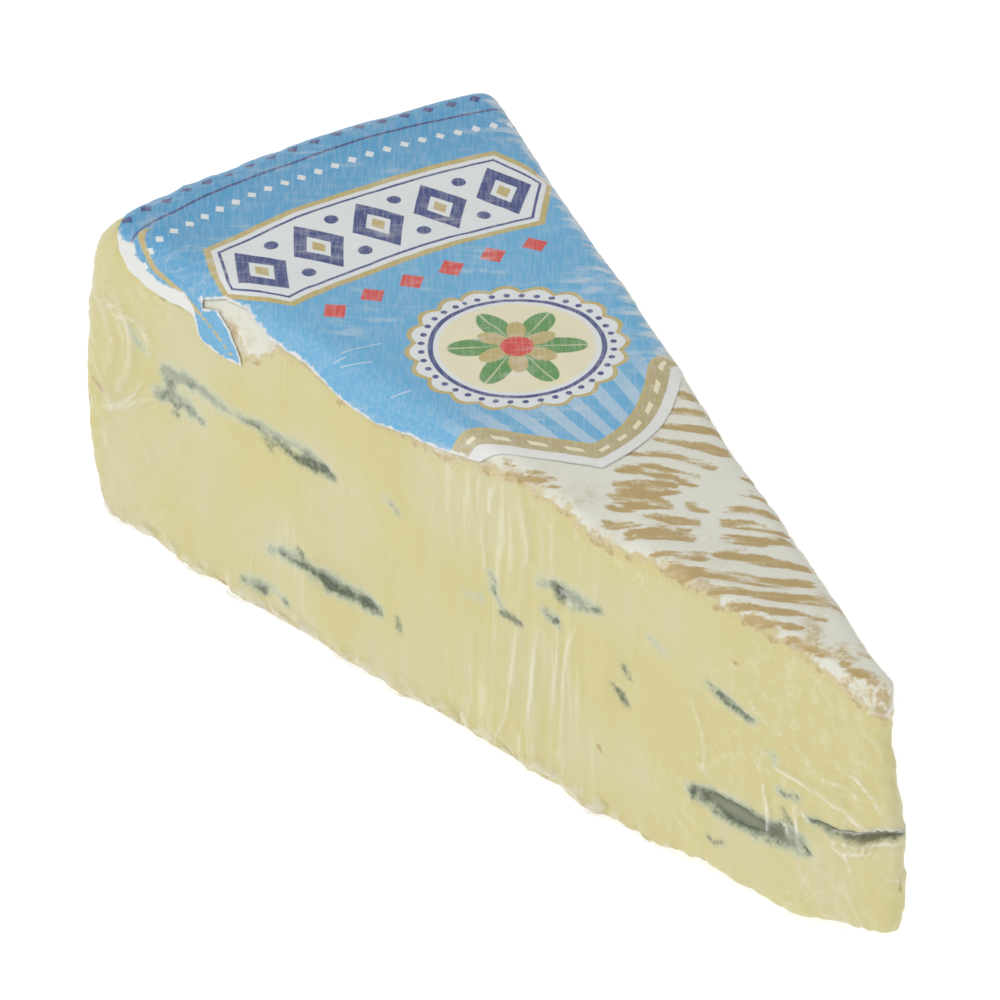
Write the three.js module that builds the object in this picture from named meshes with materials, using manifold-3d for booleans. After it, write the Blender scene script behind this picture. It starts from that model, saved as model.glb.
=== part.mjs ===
// A wedge of soft blue brie, cut from a round wheel and wrapped in clear film, with the wheel's printed label on top.
// Millimetres, +Z up. +X runs from the rind side to the tip. The origin is on the table, in the middle of the footprint.
import * as THREE from "three";
import { mergeVertices } from "three/addons/utils/BufferGeometryUtils.js";
import Module from "manifold-3d";

// ---- Driving dimensions of the cheese ----
const wheelRadius = 127.2; // at the top rim
const wheelHeight = 40.7;
const wedgeAngle = THREE.MathUtils.degToRad(24);
const sideBulge = 2.5; // of the rind side, which sags
const sideBulgeHeight = 21;
const sideBulgeAtTable = -3;
const tipHalfWidth = 1.3; // the knife leaves the tip this thick on each side
const cutBulge = 0.7; // the soft paste stands out of each cut face
const cutSag = 2; // and more so low down by the rind side
const backTopRadius = 4;
const backBottomRadius = 2;
const tipEdgeRadius = 1.6;
const rimRadiusBack = 4.4; // the -Y rim under the label, by the rind side
const rimRadiusFront = 2.4; // the bare rim, towards the tip
const rimChangeStart = 48; // distances from the rind side
const rimChangeEnd = 64;
const farRimRadius = 2.2; // the +Y rim
const bottomRimRadius = 1.8;
const frontRise = 2.2; // the underside leaves the table before the tip
const frontRiseStart = -42;
const frontRiseEnd = -22;
const tipLift = 7.4; // and the film rounds the tip's lower corner off
const tipLiftStart = -17;
const tipPush = 3.3; // the tip's lower half stands out
const tipPushHeight = 16.5;
const tipPushSpread = 12;
const tipTopBack = 0.4; // its top corner is worn back

// ---- Driving dimensions of the label ----
const labelGap = 0.3;
const labelThickness = 0.3;
const labelFoldHeight = 34; // how far down it is folded over the rind side
const labelFarHeight = 38.4; // how far down it reaches on the +Y rim
const labelInset = 0.7; // from the +Y cut face
const tearRipple = 0.22; // unevenness of its torn edge on the -Y rim
// The torn edge seen from the -Y side, as [x, z], with a torn tongue that hangs over the rim and a tear behind it.
const edgeBehindTongue = [[-121.8, 39.6], [-117.9, 36.8], [-112, 35.8], [-106.2, 36.3]];
const tongue = [[-105.4, 34.3], [-102.7, 33.1], [-98.1, 33.2], [-100.1, 36.9], [-102.6, 38.3], [-104.9, 37.6]];
const tear = [[-105.3, 38.4], [-102.5, 39.5], [-98.8, 39.7], [-94, 38.5]];
const edgeBeforeTongue = [[-87.5, 38], [-76, 36.5], [-67, 37.7], [-61, 38.9]];
// The inner end seen from above, as [x, y]: a straight fold from the rim to a corner, then a round end.
const foldStart = [-60.8, -13.8];
const foldCorner = [-50.3, -4.2];
const roundEndPull = [-51.2, 6];
const roundEnd = [-61.5, 13.6];

// ---- Mesh fineness ----
const edgeSteps = 3;
const lengthSteps = 44;
const widthSteps = 9;
const heightSteps = 10;

const wasm = await Module();
wasm.setup();

const halfAngle = wedgeAngle / 2;
const faceRadius = 125; // distance along a cut face from the tip to the rind corner

// ---------- helpers ----------

const smoothstep = THREE.MathUtils.smoothstep;
const bell = (distance, spread, power = 2) => Math.exp(-(Math.abs(distance / spread) ** power));

// A gentle unevenness of about one unit either way, the same at every run.
function unevenness(x, y, z) {
  return (
    0.5 * Math.sin(x * 0.11 + y * 0.07 + 1.3) +
    0.3 * Math.sin(x * 0.23 - y * 0.31 + z * 0.19 + 0.4) +
    0.2 * Math.sin(x * 0.41 + z * 0.37 + 2.1)
  );
}

// A closed three.js geometry as a solid that can be cut and joined.
function toSolid(geometry) {
  const bare = geometry.clone();
  bare.deleteAttribute("normal");
  bare.deleteAttribute("uv");
  const merged = mergeVertices(bare, 1e-4);
  const mesh = new wasm.Mesh({
    numProp: 3,
    vertProperties: new Float32Array(merged.attributes.position.array),
    triVerts: new Uint32Array(merged.index.array),
  });
  return new wasm.Manifold(mesh);
}

function toGeometry(solid) {
  const mesh = solid.getMesh();
  const geometry = new THREE.BufferGeometry();
  geometry.setAttribute("position", new THREE.BufferAttribute(new Float32Array(mesh.vertProperties), 3));
  geometry.setIndex(new THREE.BufferAttribute(new Uint32Array(mesh.triVerts), 1));
  geometry.computeVertexNormals();
  return geometry;
}

// The largest body of a solid: what a cut leaves as loose scraps is dropped.
function largestBody(solid) {
  const bodies = solid.decompose();
  return bodies.reduce((best, body) => (body.volume() > best.volume() ? body : best));
}

// ---------- the wedge ----------

// Lattice line to a place from -1 to 1, with `edgeSteps` lines inside each rounded edge.
function latticePlace(line, innerSteps, lowEdge, highEdge) {
  if (line < edgeSteps) return -1 + (lowEdge * line) / edgeSteps;
  const fromEnd = 2 * edgeSteps + innerSteps - line;
  if (fromEnd < edgeSteps) return 1 - (highEdge * fromEnd) / edgeSteps;
  const share = (line - edgeSteps) / innerSteps;
  return THREE.MathUtils.lerp(-1 + lowEdge, 1 - highEdge, share);
}

// The top rim's radius at a distance from the rind side. side is 0 at the -Y cut face and 1 at the +Y one.
function topRimRadius(fromBack, side) {
  const change = smoothstep(fromBack, rimChangeStart, rimChangeEnd);
  const nearRadius = THREE.MathUtils.lerp(rimRadiusBack, rimRadiusFront, change);
  return THREE.MathUtils.lerp(nearRadius, farRimRadius, side);
}

// How far the rind side stands out at a height.
function sideOut(height) {
  const above = (height - sideBulgeHeight) / (wheelHeight - sideBulgeHeight);
  const below = (sideBulgeHeight - height) / sideBulgeHeight;
  if (above > 0) return sideBulge * (1 - above ** 2);
  return THREE.MathUtils.lerp(sideBulge, sideBulgeAtTable, below ** 2);
}

// A place on the surface of a cube to the rounded cube: each edge share is its radius over the half size.
function roundOff(place, low, high) {
  const inner = new THREE.Vector3();
  const outer = new THREE.Vector3();
  for (const axis of ["x", "y", "z"]) {
    inner[axis] = THREE.MathUtils.clamp(place[axis], -1 + low[axis], 1 - high[axis]);
    outer[axis] = (place[axis] - inner[axis]) / (place[axis] < 0 ? low[axis] : high[axis]);
  }
  outer.normalize();
  for (const axis of ["x", "y", "z"]) {
    inner[axis] += outer[axis] * (outer[axis] < 0 ? low[axis] : high[axis]);
  }
  return inner;
}

// The valley that the film presses into the rim in front of the label, deepest at the cut edge on the -Y side.
const valleyInner = new THREE.Vector2(-50, -3);
const valleyOuter = new THREE.Vector2(-41, -10);
const valleyDepth = 1.4;
const valleySpread = 3.6;

function valleyAt(x, y) {
  const along = valleyOuter.clone().sub(valleyInner);
  const point = new THREE.Vector2(x, y).sub(valleyInner);
  const share = point.dot(along) / along.lengthSq();
  const aside = Math.abs(point.cross(along)) / along.length();
  return valleyDepth * smoothstep(share, -0.2, 1.1) * bell(aside, valleySpread);
}

// A lattice place to the wedge's own surface.
function wedgePoint(i, j, k) {
  const side = j / (widthSteps + 2 * edgeSteps);
  const high = k / (heightSteps + 2 * edgeSteps);
  const backRadius = THREE.MathUtils.lerp(backBottomRadius, backTopRadius, high);
  const lengthEdges = [backRadius, tipEdgeRadius].map((radius) => (2 * radius) / wheelRadius);
  const u = latticePlace(i, lengthSteps, ...lengthEdges);
  const plainRadius = (wheelRadius * (1 - u)) / 2;
  const fromBack = faceRadius - plainRadius;
  const halfWidth = plainRadius * Math.sin(halfAngle) + tipHalfWidth;

  const topRim = Math.min(topRimRadius(fromBack, side), 0.85 * halfWidth);
  const tableRim = THREE.MathUtils.lerp(backBottomRadius, bottomRimRadius, smoothstep(fromBack, 0, 14));
  const bottomRim = Math.min(tableRim, 0.85 * halfWidth);
  const widthEdge = THREE.MathUtils.lerp(bottomRim, topRim, high) / halfWidth;
  const heightEdges = [bottomRim, topRim].map((radius) => (2 * radius) / wheelHeight);
  const v = latticePlace(j, widthSteps, widthEdge, widthEdge);
  const w = latticePlace(k, heightSteps, ...heightEdges);
  const lowShares = new THREE.Vector3(lengthEdges[0], widthEdge, heightEdges[0]);
  const highShares = new THREE.Vector3(lengthEdges[1], widthEdge, heightEdges[1]);
  const place = roundOff(new THREE.Vector3(u, v, w), lowShares, highShares);

  const shareFromTip = (1 - place.x) / 2;
  const height = (wheelHeight * (1 + place.z)) / 2;
  const radius = wheelRadius * shareFromTip + sideOut(height) * shareFromTip ** 8;
  const angle = place.y * halfAngle;
  const point = new THREE.Vector3(
    -radius * Math.cos(angle),
    radius * Math.sin(angle) + place.y * tipHalfWidth,
    height,
  );

  // Soft paste: the cut faces stand out a little and are uneven, the top rises and falls.
  const outward = Math.abs(place.y) ** 3 * Math.sign(place.y);
  const sag = cutSag * smoothstep(-height, -22, -2) * smoothstep(radius, 30, 118);
  const swell = cutBulge * (1 - place.z ** 2) + sag + 0.4 * unevenness(point.x, 40 * outward, point.z);
  point.y += outward * swell * smoothstep(radius, 4, 30);
  const topShare = smoothstep(place.z, 0.2, 1);
  point.z += topShare * (0.4 * unevenness(point.x, point.y, 0) - valleyAt(point.x, point.y));

  // The tip: its lower corner is pulled up and its lower half pushed out.
  const rise = frontRise * smoothstep(point.x, frontRiseStart, frontRiseEnd);
  const lift = rise + tipLift * smoothstep(point.x, tipLiftStart, 3) ** 1.2;
  point.z += lift * (1 - point.z / wheelHeight);
  const push = tipPush * bell(point.z - tipPushHeight, tipPushSpread, 4) - tipTopBack;
  point.x += push * smoothstep(point.x, -22, 0);
  return point;
}

// A closed box-shaped lattice over the wedge. `offset` moves it outwards along the surface's normals.
function wedgeGeometry(offset = 0) {
  const steps = [lengthSteps, widthSteps, heightSteps].map((inner) => inner + 2 * edgeSteps);
  const positions = [];
  const numbers = new Map();
  const indices = [];
  const vertex = (lattice) => {
    const key = lattice.join();
    if (!numbers.has(key)) {
      numbers.set(key, positions.length / 3);
      positions.push(...wedgePoint(...lattice).toArray());
    }
    return numbers.get(key);
  };
  for (let axis = 0; axis < 3; axis++) {
    const across = (axis + 1) % 3;
    const up = (axis + 2) % 3;
    for (const end of [0, steps[axis]]) {
      for (let p = 0; p < steps[across]; p++) {
        for (let q = 0; q < steps[up]; q++) {
          const corner = (dp, dq) => {
            const lattice = [0, 0, 0];
            lattice[axis] = end;
            lattice[across] = p + dp;
            lattice[up] = q + dq;
            return vertex(lattice);
          };
          const [a, b, c, d] = [corner(0, 0), corner(1, 0), corner(1, 1), corner(0, 1)];
          if (end) indices.push(a, b, c, a, c, d);
          else indices.push(a, c, b, a, d, c);
        }
      }
    }
  }
  const geometry = new THREE.BufferGeometry();
  geometry.setAttribute("position", new THREE.Float32BufferAttribute(positions, 3));
  geometry.setIndex(indices);
  geometry.computeVertexNormals();
  if (offset) {
    const { position, normal } = geometry.attributes;
    for (let n = 0; n < position.count; n++) {
      const moved = new THREE.Vector3().fromBufferAttribute(position, n);
      moved.addScaledVector(new THREE.Vector3().fromBufferAttribute(normal, n), offset);
      position.setXYZ(n, ...moved.toArray());
    }
  }
  return geometry;
}

// ---------- mould pockets in the cut faces ----------

// A matrix that stands on a cut face: X towards the tip, Y out of the face, Z up.
// side is -1 for the face at -Y and 1 for the face at +Y. fromBack is measured along the face.
function onCutFace(side, fromBack, height, tilt = 0) {
  const radius = faceRadius - fromBack;
  const bearing = side * halfAngle;
  const place = new THREE.Vector3(
    -radius * Math.cos(bearing),
    radius * Math.sin(bearing) + side * (tipHalfWidth + cutBulge * 0.8),
    height,
  );
  const towardsTip = new THREE.Vector3(Math.cos(bearing), -Math.sin(bearing), 0);
  const up = new THREE.Vector3(0, 0, 1);
  const out = up.clone().cross(towardsTip);
  const turn = new THREE.Matrix4().makeRotationAxis(out, -tilt);
  return new THREE.Matrix4()
    .makeBasis(towardsTip, out, up)
    .premultiply(turn)
    .setPosition(place);
}

// The blue mould grows in flat holes that lie in two layers of the paste.
// Each: side, distance from the rind side, height, length, opening, depth, tilt in degrees.
const mouldPockets = [
  [-1, 13, 23.6, 9, 3.4, 0.9, -6],
  [-1, 32.5, 25.7, 15, 1.8, 1.2, 0],
  [-1, 40.5, 11.6, 15, 2.2, 1.2, 2],
  [-1, 27.3, 5.2, 5, 1.6, 0.8, -8],
  [-1, 76.5, 28.2, 6.5, 3, 1.3, 12],
  [-1, 86.9, 20.6, 2.6, 1.5, 0.8, 30],
  [-1, 102.6, 27.5, 6.5, 1.1, 0.9, -6],
  [-1, 106.5, 13.9, 17, 3.4, 1.6, 3],
  [-1, 120.8, 18.6, 14.5, 1.5, 3.2, 22],
  [1, 18, 25, 12, 2.6, 1.2, 3],
  [1, 40, 10, 16, 2.4, 1.3, -3],
  [1, 58, 24.5, 8, 2.2, 1, 6],
  [1, 79, 12, 11, 2.6, 1.4, 2],
  [1, 97, 22.5, 7, 1.6, 1, -8],
];

function mouldPocket([side, fromBack, height, length, opening, depth, tilt]) {
  const pocket = new THREE.SphereGeometry(1, 12, 6);
  pocket.rotateX(Math.PI / 2);
  pocket.scale(length / 2, depth, opening / 2);
  pocket.applyMatrix4(onCutFace(side, fromBack, height, THREE.MathUtils.degToRad(tilt)));
  return toSolid(pocket);
}

function cheeseGeometry() {
  let body = toSolid(wedgeGeometry());
  for (const pocket of mouldPockets) body = body.subtract(mouldPocket(pocket));
  return toGeometry(largestBody(body));
}

// ---------- the label ----------

const prismTop = wheelHeight + 6;
const beyondBack = -wheelRadius - 12;

// A vertical prism of an outline seen from above.
function planPrism(shape) {
  return toSolid(new THREE.ExtrudeGeometry(shape, { depth: prismTop, bevelEnabled: false }));
}

// A level prism of an outline seen from the -Y side, between two places across.
function sidePrism(shape, nearY, farY) {
  const geometry = new THREE.ExtrudeGeometry(shape, { depth: farY - nearY, bevelEnabled: false });
  geometry.rotateX(Math.PI / 2);
  geometry.translate(0, farY, 0);
  return toSolid(geometry);
}

// Seen from above: past the -Y rim and the rind side, along the +Y rim, but short of the upright rind corners.
function labelPlan() {
  const rimAt = (x) => -x * Math.tan(halfAngle) + tipHalfWidth - labelInset;
  const rimEnd = -123;
  const shape = new THREE.Shape();
  shape.moveTo(beyondBack, -17);
  shape.lineTo(-125.6, -20.8);
  shape.lineTo(-121.9, -24.7);
  shape.lineTo(-121.7, -25.3);
  shape.lineTo(-121.7, -40);
  shape.lineTo(foldStart[0], -40);
  shape.lineTo(...foldStart);
  shape.lineTo(...foldCorner);
  shape.quadraticCurveTo(...roundEndPull, ...roundEnd);
  shape.lineTo(rimEnd, rimAt(rimEnd));
  shape.lineTo(-126.8, 23.4);
  shape.lineTo(beyondBack, 20.5);
  shape.closePath();
  return planPrism(shape);
}

// A run of [x, z] stations with ripples between them, as paper tears.
function tornRun(stations) {
  const run = [];
  for (let n = 0; n < stations.length - 1; n++) {
    const [start, end] = [stations[n], stations[n + 1]];
    const steps = Math.ceil(Math.abs(end[0] - start[0]) / 1.6);
    for (let step = 0; step < steps; step++) {
      const share = step / steps;
      const x = THREE.MathUtils.lerp(start[0], end[0], share);
      const ripple = Math.sin(x * 1.9) * Math.sin(x * 0.53 + 1) * Math.sin(Math.PI * share);
      run.push([x, THREE.MathUtils.lerp(start[1], end[1], share) + tearRipple * ripple]);
    }
  }
  run.push(stations.at(-1));
  return run;
}

// Seen from the side: the torn edge on the -Y rim, a plain edge on the +Y one, and the fold over the rind side.
function labelSides() {
  const outline = (edge) => {
    const points = [[beyondBack, prismTop], [beyondBack, labelFoldHeight], ...edge, [edge.at(-1)[0], prismTop]];
    return new THREE.Shape(points.map(([x, z]) => new THREE.Vector2(x, z)));
  };
  const tornEdge = [...tornRun(edgeBehindTongue), ...tongue, ...tornRun([...tear, ...edgeBeforeTongue])];
  const near = outline([[-122, labelFoldHeight], ...tornEdge, [-45, 39.2]]);
  const far = outline([[-121.5, labelFoldHeight], [-121, labelFarHeight], [-45, labelFarHeight]]);
  return sidePrism(near, -40, 0).add(sidePrism(far, 0, 40));
}

function labelGeometry() {
  const outside = toSolid(wedgeGeometry(labelGap + labelThickness));
  const skin = outside.subtract(toSolid(wedgeGeometry(labelGap)));
  return toGeometry(largestBody(skin.intersect(labelPlan()).intersect(labelSides())));
}

// ---------- the part ----------

const materials = {
  cheese: new THREE.MeshStandardMaterial({ color: 0xdfd9a8, roughness: 0.5, metalness: 0 }),
  label: new THREE.MeshStandardMaterial({ color: 0x5aa7d6, roughness: 0.4, metalness: 0 }),
};

const part = new THREE.Group();
const add = (name, geometry) => {
  const mesh = new THREE.Mesh(geometry, materials[name]);
  mesh.name = name;
  part.add(mesh);
};
add("cheese", cheeseGeometry());
add("label", labelGeometry());

// The footprint's middle becomes the origin.
const footprint = new THREE.Box3().setFromObject(part);
const middle = footprint.getCenter(new THREE.Vector3());
part.position.set(-middle.x, -middle.y, -footprint.min.z);

export default part;
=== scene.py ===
import math

import bpy
import numpy as np
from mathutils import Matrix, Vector, noise


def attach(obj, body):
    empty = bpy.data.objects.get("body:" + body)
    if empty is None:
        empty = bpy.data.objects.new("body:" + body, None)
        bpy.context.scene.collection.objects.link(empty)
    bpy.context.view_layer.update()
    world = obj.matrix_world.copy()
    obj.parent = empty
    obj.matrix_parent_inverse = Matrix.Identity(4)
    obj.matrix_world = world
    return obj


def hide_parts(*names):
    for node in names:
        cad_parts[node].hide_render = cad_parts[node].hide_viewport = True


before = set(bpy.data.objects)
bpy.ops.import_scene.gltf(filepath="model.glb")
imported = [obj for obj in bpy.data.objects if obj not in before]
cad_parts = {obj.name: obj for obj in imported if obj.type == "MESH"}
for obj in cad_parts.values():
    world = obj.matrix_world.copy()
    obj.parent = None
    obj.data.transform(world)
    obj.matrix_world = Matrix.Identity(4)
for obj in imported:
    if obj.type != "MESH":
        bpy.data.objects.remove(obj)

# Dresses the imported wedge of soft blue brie: the paste with its rind and blue mould, the printed label,
# and the clear film drawn over both.
# The shaping below works in millimetres round the wheel's centre, where the tip comes to a point.
# Every finished mesh is in metres, in the frame's place.

bl_info = {
    "name": "Blue Brie Wedge",
    "version": (1, 0, 0),
    "blender": (4, 5, 0),
    "location": "View3D > Sidebar > Cheese",
    "description": "Makes a wedge of blue brie with its rind, label and film",
    "category": "Object",
}

MM = 0.001
WHEEL_CENTRE = np.array((63.4244, -0.08695, 0))
HALF_ANGLE = math.radians(12)
TIP_HALF_WIDTH = 1.3
FACE_RADIUS = 125.0
WHEEL_RADIUS = 127.2
RIM_HEIGHT = 40.7
RIND_THICKNESS = 0.7
# The rind side stands out most at this height, by SIDE_OUT, and draws in by SIDE_TUCK from there to the base.
SIDE_WIDEST = 21
SIDE_OUT = 2.5
SIDE_TUCK = 5.5

# The near face runs on round the tip's nose between these distances from the rind side.
NOSE_START = 119
NOSE_END = 122
# Lets the distance along the tip meet the distance round the wheel's centre.
TIP_STEP = 0.36
# The far face's film is the near one's, this much further from the rind side.
FAR_FILM_SHIFT = 9
# What stands for "well outside every stroke", and how far the label looks for its own edges.
FAR_OUTSIDE = 8.0
LABEL_REACH = 60.0

# ---- where the mould grows ----
# On each cut face, as strokes of (distance from the rind side, height, half width).
NEAR_MOULD = [
    [(10, 25.4, 0.24), (10.4, 25.2, 0.2)],
    [(11.5, 24.6, 0.2), (11.2, 23.5, 0.3), (11.6, 23.3, 0.15)],
    [(10.8, 22.7, 0.1), (9.8, 21.6, 0.22), (9, 21.5, 0.1)],
    [(11.5, 21.7, 0.1), (12.7, 21.5, 0.24), (13.9, 22.1, 0.1), (15.3, 22.1, 0.14), (17.3, 21.6, 0.05)],
    [(11.9, 20.5, 0.1), (13, 20.4, 0.2)],
    [(14.5, 25.5, 0.12), (16, 26.3, 0.25)],
    [(23.6, 25.8, 0.14), (25.4, 25.7, 0.26), (26.9, 25.6, 0.29), (28, 24.8, 0.23), (29.2, 23.9, 0.11)],
    [(27.7, 25.4, 0.25), (29.4, 25.1, 0.5), (32.3, 24.9, 0.38), (33.8, 24.9, 0.6), (36.9, 25.3, 0.7),
     (40, 25.5, 0.25)],
    [(34.6, 26.1, 0.14), (36.2, 25.9, 0.17), (37.6, 25.4, 0.17)],
    [(49.4, 26.8, 0.15), (50.3, 26.3, 0.3)],
    [(31.6, 11.1, 0.2), (32.5, 11.3, 0.23)],
    [(34.4, 13.1, 0.2), (35.1, 12.7, 0.26), (35.6, 12, 0.18)],
    [(33.6, 11.3, 0.2), (35.4, 11.2, 0.4), (38.7, 10.3, 0.6), (40.1, 10.4, 0.6), (42.5, 10.5, 0.4),
     (46, 10.9, 0.5), (48.1, 10.8, 0.15)],
    [(50.6, 11.5, 0.18), (50.8, 10.7, 0.33), (51.1, 10.1, 0.2)],
    [(24.9, 4.3, 0.2), (27.1, 4.2, 0.32), (28.6, 4.3, 0.42), (29.4, 5.2, 0.15)],
    [(31.8, 4.3, 0.18), (32.3, 4.3, 0.28), (32.6, 4.1, 0.15)],
    [(67.1, 20.7, 0.3), (68.2, 20.8, 0.6), (69.2, 20.9, 0.5), (70.1, 21, 0.25)],
    [(65.3, 25, 0.1), (65.9, 24.4, 0.2), (66, 22.9, 0.1)],
    [(74.6, 28.6, 0.15), (75.6, 29.4, 0.25), (77.3, 29.3, 0.12)],
    [(75.5, 28.5, 0.39), (75.9, 27.8, 0.73), (76.5, 27.5, 0.45)],
    [(78.2, 27.3, 0.08), (79.4, 28.1, 0.12), (81.9, 29.2, 0.12), (82.9, 29.6, 0.16)],
    [(74.3, 25, 0.25), (74.8, 24.2, 0.28), (76.2, 24.4, 0.3)],
    [(86.9, 24.1, 0.2), (87.2, 23.5, 0.4), (87.6, 22.9, 0.25)],
    [(84.9, 20.3, 0.2), (85.7, 19.7, 0.45), (86.5, 19.3, 0.58), (87.5, 19.4, 0.25)],
    [(99.7, 28.4, 0.3), (100.8, 27.7, 0.3), (103.5, 27.2, 0.45), (105.8, 27.1, 0.25)],
    [(97.7, 13.6, 0.17), (97.5, 12.6, 0.31), (97.6, 11.8, 0.24)],
    [(99.4, 13.3, 0.21), (101.8, 13.7, 0.24)],
    [(99.4, 12.8, 0.85), (103, 12.7, 1.35), (106.8, 12.7, 0.95), (110.2, 13.2, 0.4)],
    [(105.7, 14.4, 0.21), (105.9, 13.5, 0.31), (108, 12.6, 0.27), (108.9, 11.8, 0.17)],
    [(111, 17.7, 0.14), (111.3, 16.7, 0.21), (110.3, 15, 0.27), (109.5, 13.5, 0.24)],
    [(111.4, 16.7, 0.14), (112.3, 16.2, 0.21), (113.5, 14.2, 0.27), (115.1, 13.9, 0.38)],
    [(109.6, 12.3, 0.21), (112, 13.2, 0.21)],
    [(110.7, 19.9, 0.27), (113, 20.3, 0.14)],
    [(100.2, 7.6, 0.21), (100.9, 7.4, 0.24), (102.4, 8.5, 0.14)],
    [(114.9, 18.5, 0.3), (116, 18.5, 0.5), (117.9, 18.6, 0.4), (119.4, 18.8, 0.5), (121.7, 19.6, 0.7)],
    [(121.7, 19.6, 0.7), (123.9, 21, 0.65), (125.6, 22.3, 0.5), (127.1, 22.9, 0.45), (128.3, 22.7, 0.3)],
]
# The grey-green haze of mould that lies a little way in and shows through the paste.
NEAR_HAZE = [
    [(4.7, 28.6, 0.3), (6.3, 27.4, 0.5), (7.5, 26.4, 0.2)],
    [(10.2, 25.8, 0.8), (12.8, 25.8, 1.3), (15.9, 26.3, 1.15), (21.3, 25.9, 0.7), (23.7, 25.8, 0.6)],
    [(10.7, 25.2, 0.8), (11.3, 23.4, 1)],
    [(9.4, 21.9, 0.9), (11.5, 22.5, 1.2), (14.1, 22.2, 0.9), (17.2, 21.8, 0.5)],
    [(24.1, 26.2, 0.63), (29.4, 26, 0.92), (33, 26.2, 0.9), (35.8, 26.2, 0.8), (39, 25.7, 0.4)],
    [(48.2, 27.2, 0.2), (50.2, 26.4, 0.4)],
    [(29.6, 10.8, 0.5), (33.3, 11.7, 1), (37.4, 10.9, 0.96), (39.7, 10.6, 1.25), (42.1, 10.6, 0.95),
     (45.2, 10.9, 1.1), (47.6, 11.2, 0.7)],
    [(25.5, 4.2, 0.6), (27.6, 4.8, 1), (29.8, 5.4, 0.5), (32.3, 4.3, 0.35)],
    [(65.2, 25.4, 0.5), (65.9, 24.6, 0.6), (65.8, 23.2, 0.3), (67.4, 21.2, 0.4)],
    [(61.8, 20.7, 0.2), (63.7, 21.2, 0.25)],
    [(73, 27.8, 0.5), (74.8, 28.8, 0.8), (77.1, 28.7, 1.2), (79.3, 29, 1.1), (82.4, 29.6, 0.4)],
    [(74.1, 24.5, 0.5), (75.8, 24.5, 0.6)],
    [(99.7, 28.3, 0.4), (103.5, 27.3, 0.6), (106.3, 27.2, 0.3)],
    [(97.4, 12.9, 0.8), (100.5, 12.9, 1.45), (103.5, 12.9, 1.7), (107.3, 12.7, 1.4), (111.5, 14, 1.75),
     (113.1, 14.4, 1.5), (115.1, 14, 0.5)],
    [(110.4, 19.8, 0.4), (112.7, 20.3, 0.4)],
    [(90.4, 30, 0.3), (92.6, 29, 0.4)],
    [(108.6, 24, 0.25), (109.6, 23.8, 0.25)],
    [(114.5, 18.4, 0.5), (117.1, 18.5, 0.5), (120, 19.2, 0.45)],
]
# Brown patches and specks on the near face.
NEAR_SPECKS = [
    [(-1.8, 18.6, 0.25), (-0.9, 18.2, 0.4), (0.1, 17.6, 0.2)],
    [(103.4, 33.5, 0.25), (103.7, 33.1, 0.2)],
    [(83, 10.5, 0.3), (83.3, 10.2, 0.2)],
]
# Hollows that the mould grew in: (depth, stroke).
NEAR_HOLLOWS = [
    (0.25, [(28, 25.2, 0.3), (38, 25.4, 0.5)]),
    (0.25, [(35.4, 11, 0.5), (47, 11, 0.6)]),
    (0.6, [(75.6, 28.3, 0.6), (76.4, 27.6, 0.6)]),
    (0.5, [(98.4, 12.8, 0.8), (104, 12.7, 1.2), (110.5, 13.5, 1.3), (114.6, 14, 0.5)]),
    (1.3, [(116, 18.5, 0.3), (119.4, 18.8, 0.5), (121.7, 19.6, 0.65), (123.9, 21, 0.6), (125.6, 22.3, 0.45),
           (127.6, 22.9, 0.3)]),
]
FAR_HOLLOWS = [
    (0.4, [(14, 25, 0.4), (18, 25.1, 1), (22, 25.2, 0.4)]),
    (0.5, [(34.5, 10.4, 0.4), (39.5, 9.9, 1), (45.5, 9.8, 0.5)]),
    (0.4, [(55.5, 24.5, 0.5), (59.5, 24.4, 1)]),
    (0.5, [(75.5, 12.1, 0.7), (81.5, 12.2, 1)]),
    (0.3, [(95, 22.6, 0.4), (99.5, 22.7, 0.5)]),
]
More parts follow.
